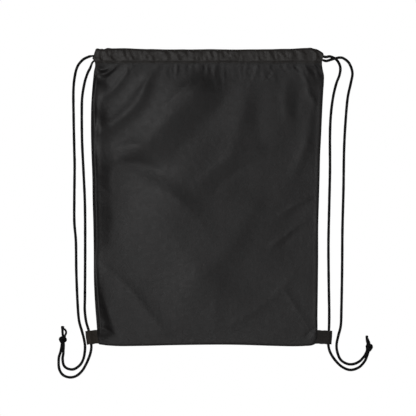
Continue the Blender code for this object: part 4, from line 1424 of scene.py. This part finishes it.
# square area lights: place, (x, z) aimed at in the mid-plane, size and power
LIGHTS = {
    "key": dict(place=(-2.35, -5.55, 0.75), aim=(0.0, 0.0), size=3.6, power=148.0),
    "fill": dict(place=(1.7, -2.8, -0.7), aim=(0.06, -0.06), size=1.5, power=6.5),
    "low": dict(place=(0.05, -1.25, -0.80), aim=(0.06, -0.12), size=0.7, power=3.4),
    "top": dict(place=(0.0, 0.0, 2.6), aim=(0.0, 0.0), size=1.2, power=8.0)}


def add_light(name, place, aim, size, power):
    data = bpy.data.lights.new(name, "AREA")
    data.shape = "RECTANGLE"
    data.size = data.size_y = size
    data.energy = power
    if name.startswith("back_"):
        # a front light turned half round to the back
        place = (-place[0], -place[1], place[2])
        aim = (-aim[0], aim[1])
    target = Vector((aim[0], SHIFT[1], aim[1]))
    obj = bpy.data.objects.new(name, data)
    bpy.context.scene.collection.objects.link(obj)
    obj.location = place
    obj.rotation_mode = "QUATERNION"
    obj.rotation_quaternion = (target - Vector(place)).to_track_quat("-Z", "Y")
    obj.visible_camera = False


def add_world():
    """White to the camera, faint ambient light to everything else."""
    world = bpy.data.worlds.new("studio")
    bpy.context.scene.world = world
    world.use_nodes = True
    nodes, links = world.node_tree.nodes, world.node_tree.links
    nodes.clear()
    out = nodes.new("ShaderNodeOutputWorld")
    path = nodes.new("ShaderNodeLightPath")
    mix = nodes.new("ShaderNodeMixShader")
    links.new(path.outputs["Is Camera Ray"], mix.inputs[0])
    for socket, strength in ((1, 0.07), (2, 1.0)):
        background = nodes.new("ShaderNodeBackground")
        background.inputs["Color"].default_value = (1.0, 1.0, 1.0, 1.0)
        background.inputs["Strength"].default_value = strength
        links.new(background.outputs[0], mix.inputs[socket])
    links.new(mix.outputs[0], out.inputs[0])


def add_camera():
    """Level and square in front of the bag."""
    sensor, away, seen_width = 36.0, 5.0, 0.61568
    data = bpy.data.cameras.new("camera")
    data.sensor_width = sensor
    data.lens = sensor * away / seen_width
    obj = bpy.data.objects.new("camera", data)
    bpy.context.scene.collection.objects.link(obj)
    obj.location = (0.0015, SHIFT[1] - away, SHIFT[2] + 0.2042)
    obj.rotation_euler = (math.pi / 2, 0.0, 0.0)
    bpy.context.scene.camera = obj
    bpy.context.scene.view_settings.view_transform = "Standard"


add_floor()
for light in ("key", "fill", "back_key", "back_fill", "low", "back_low", "top"):
    add_light(light, **LIGHTS[light.removeprefix("back_")])
add_world()
add_camera()
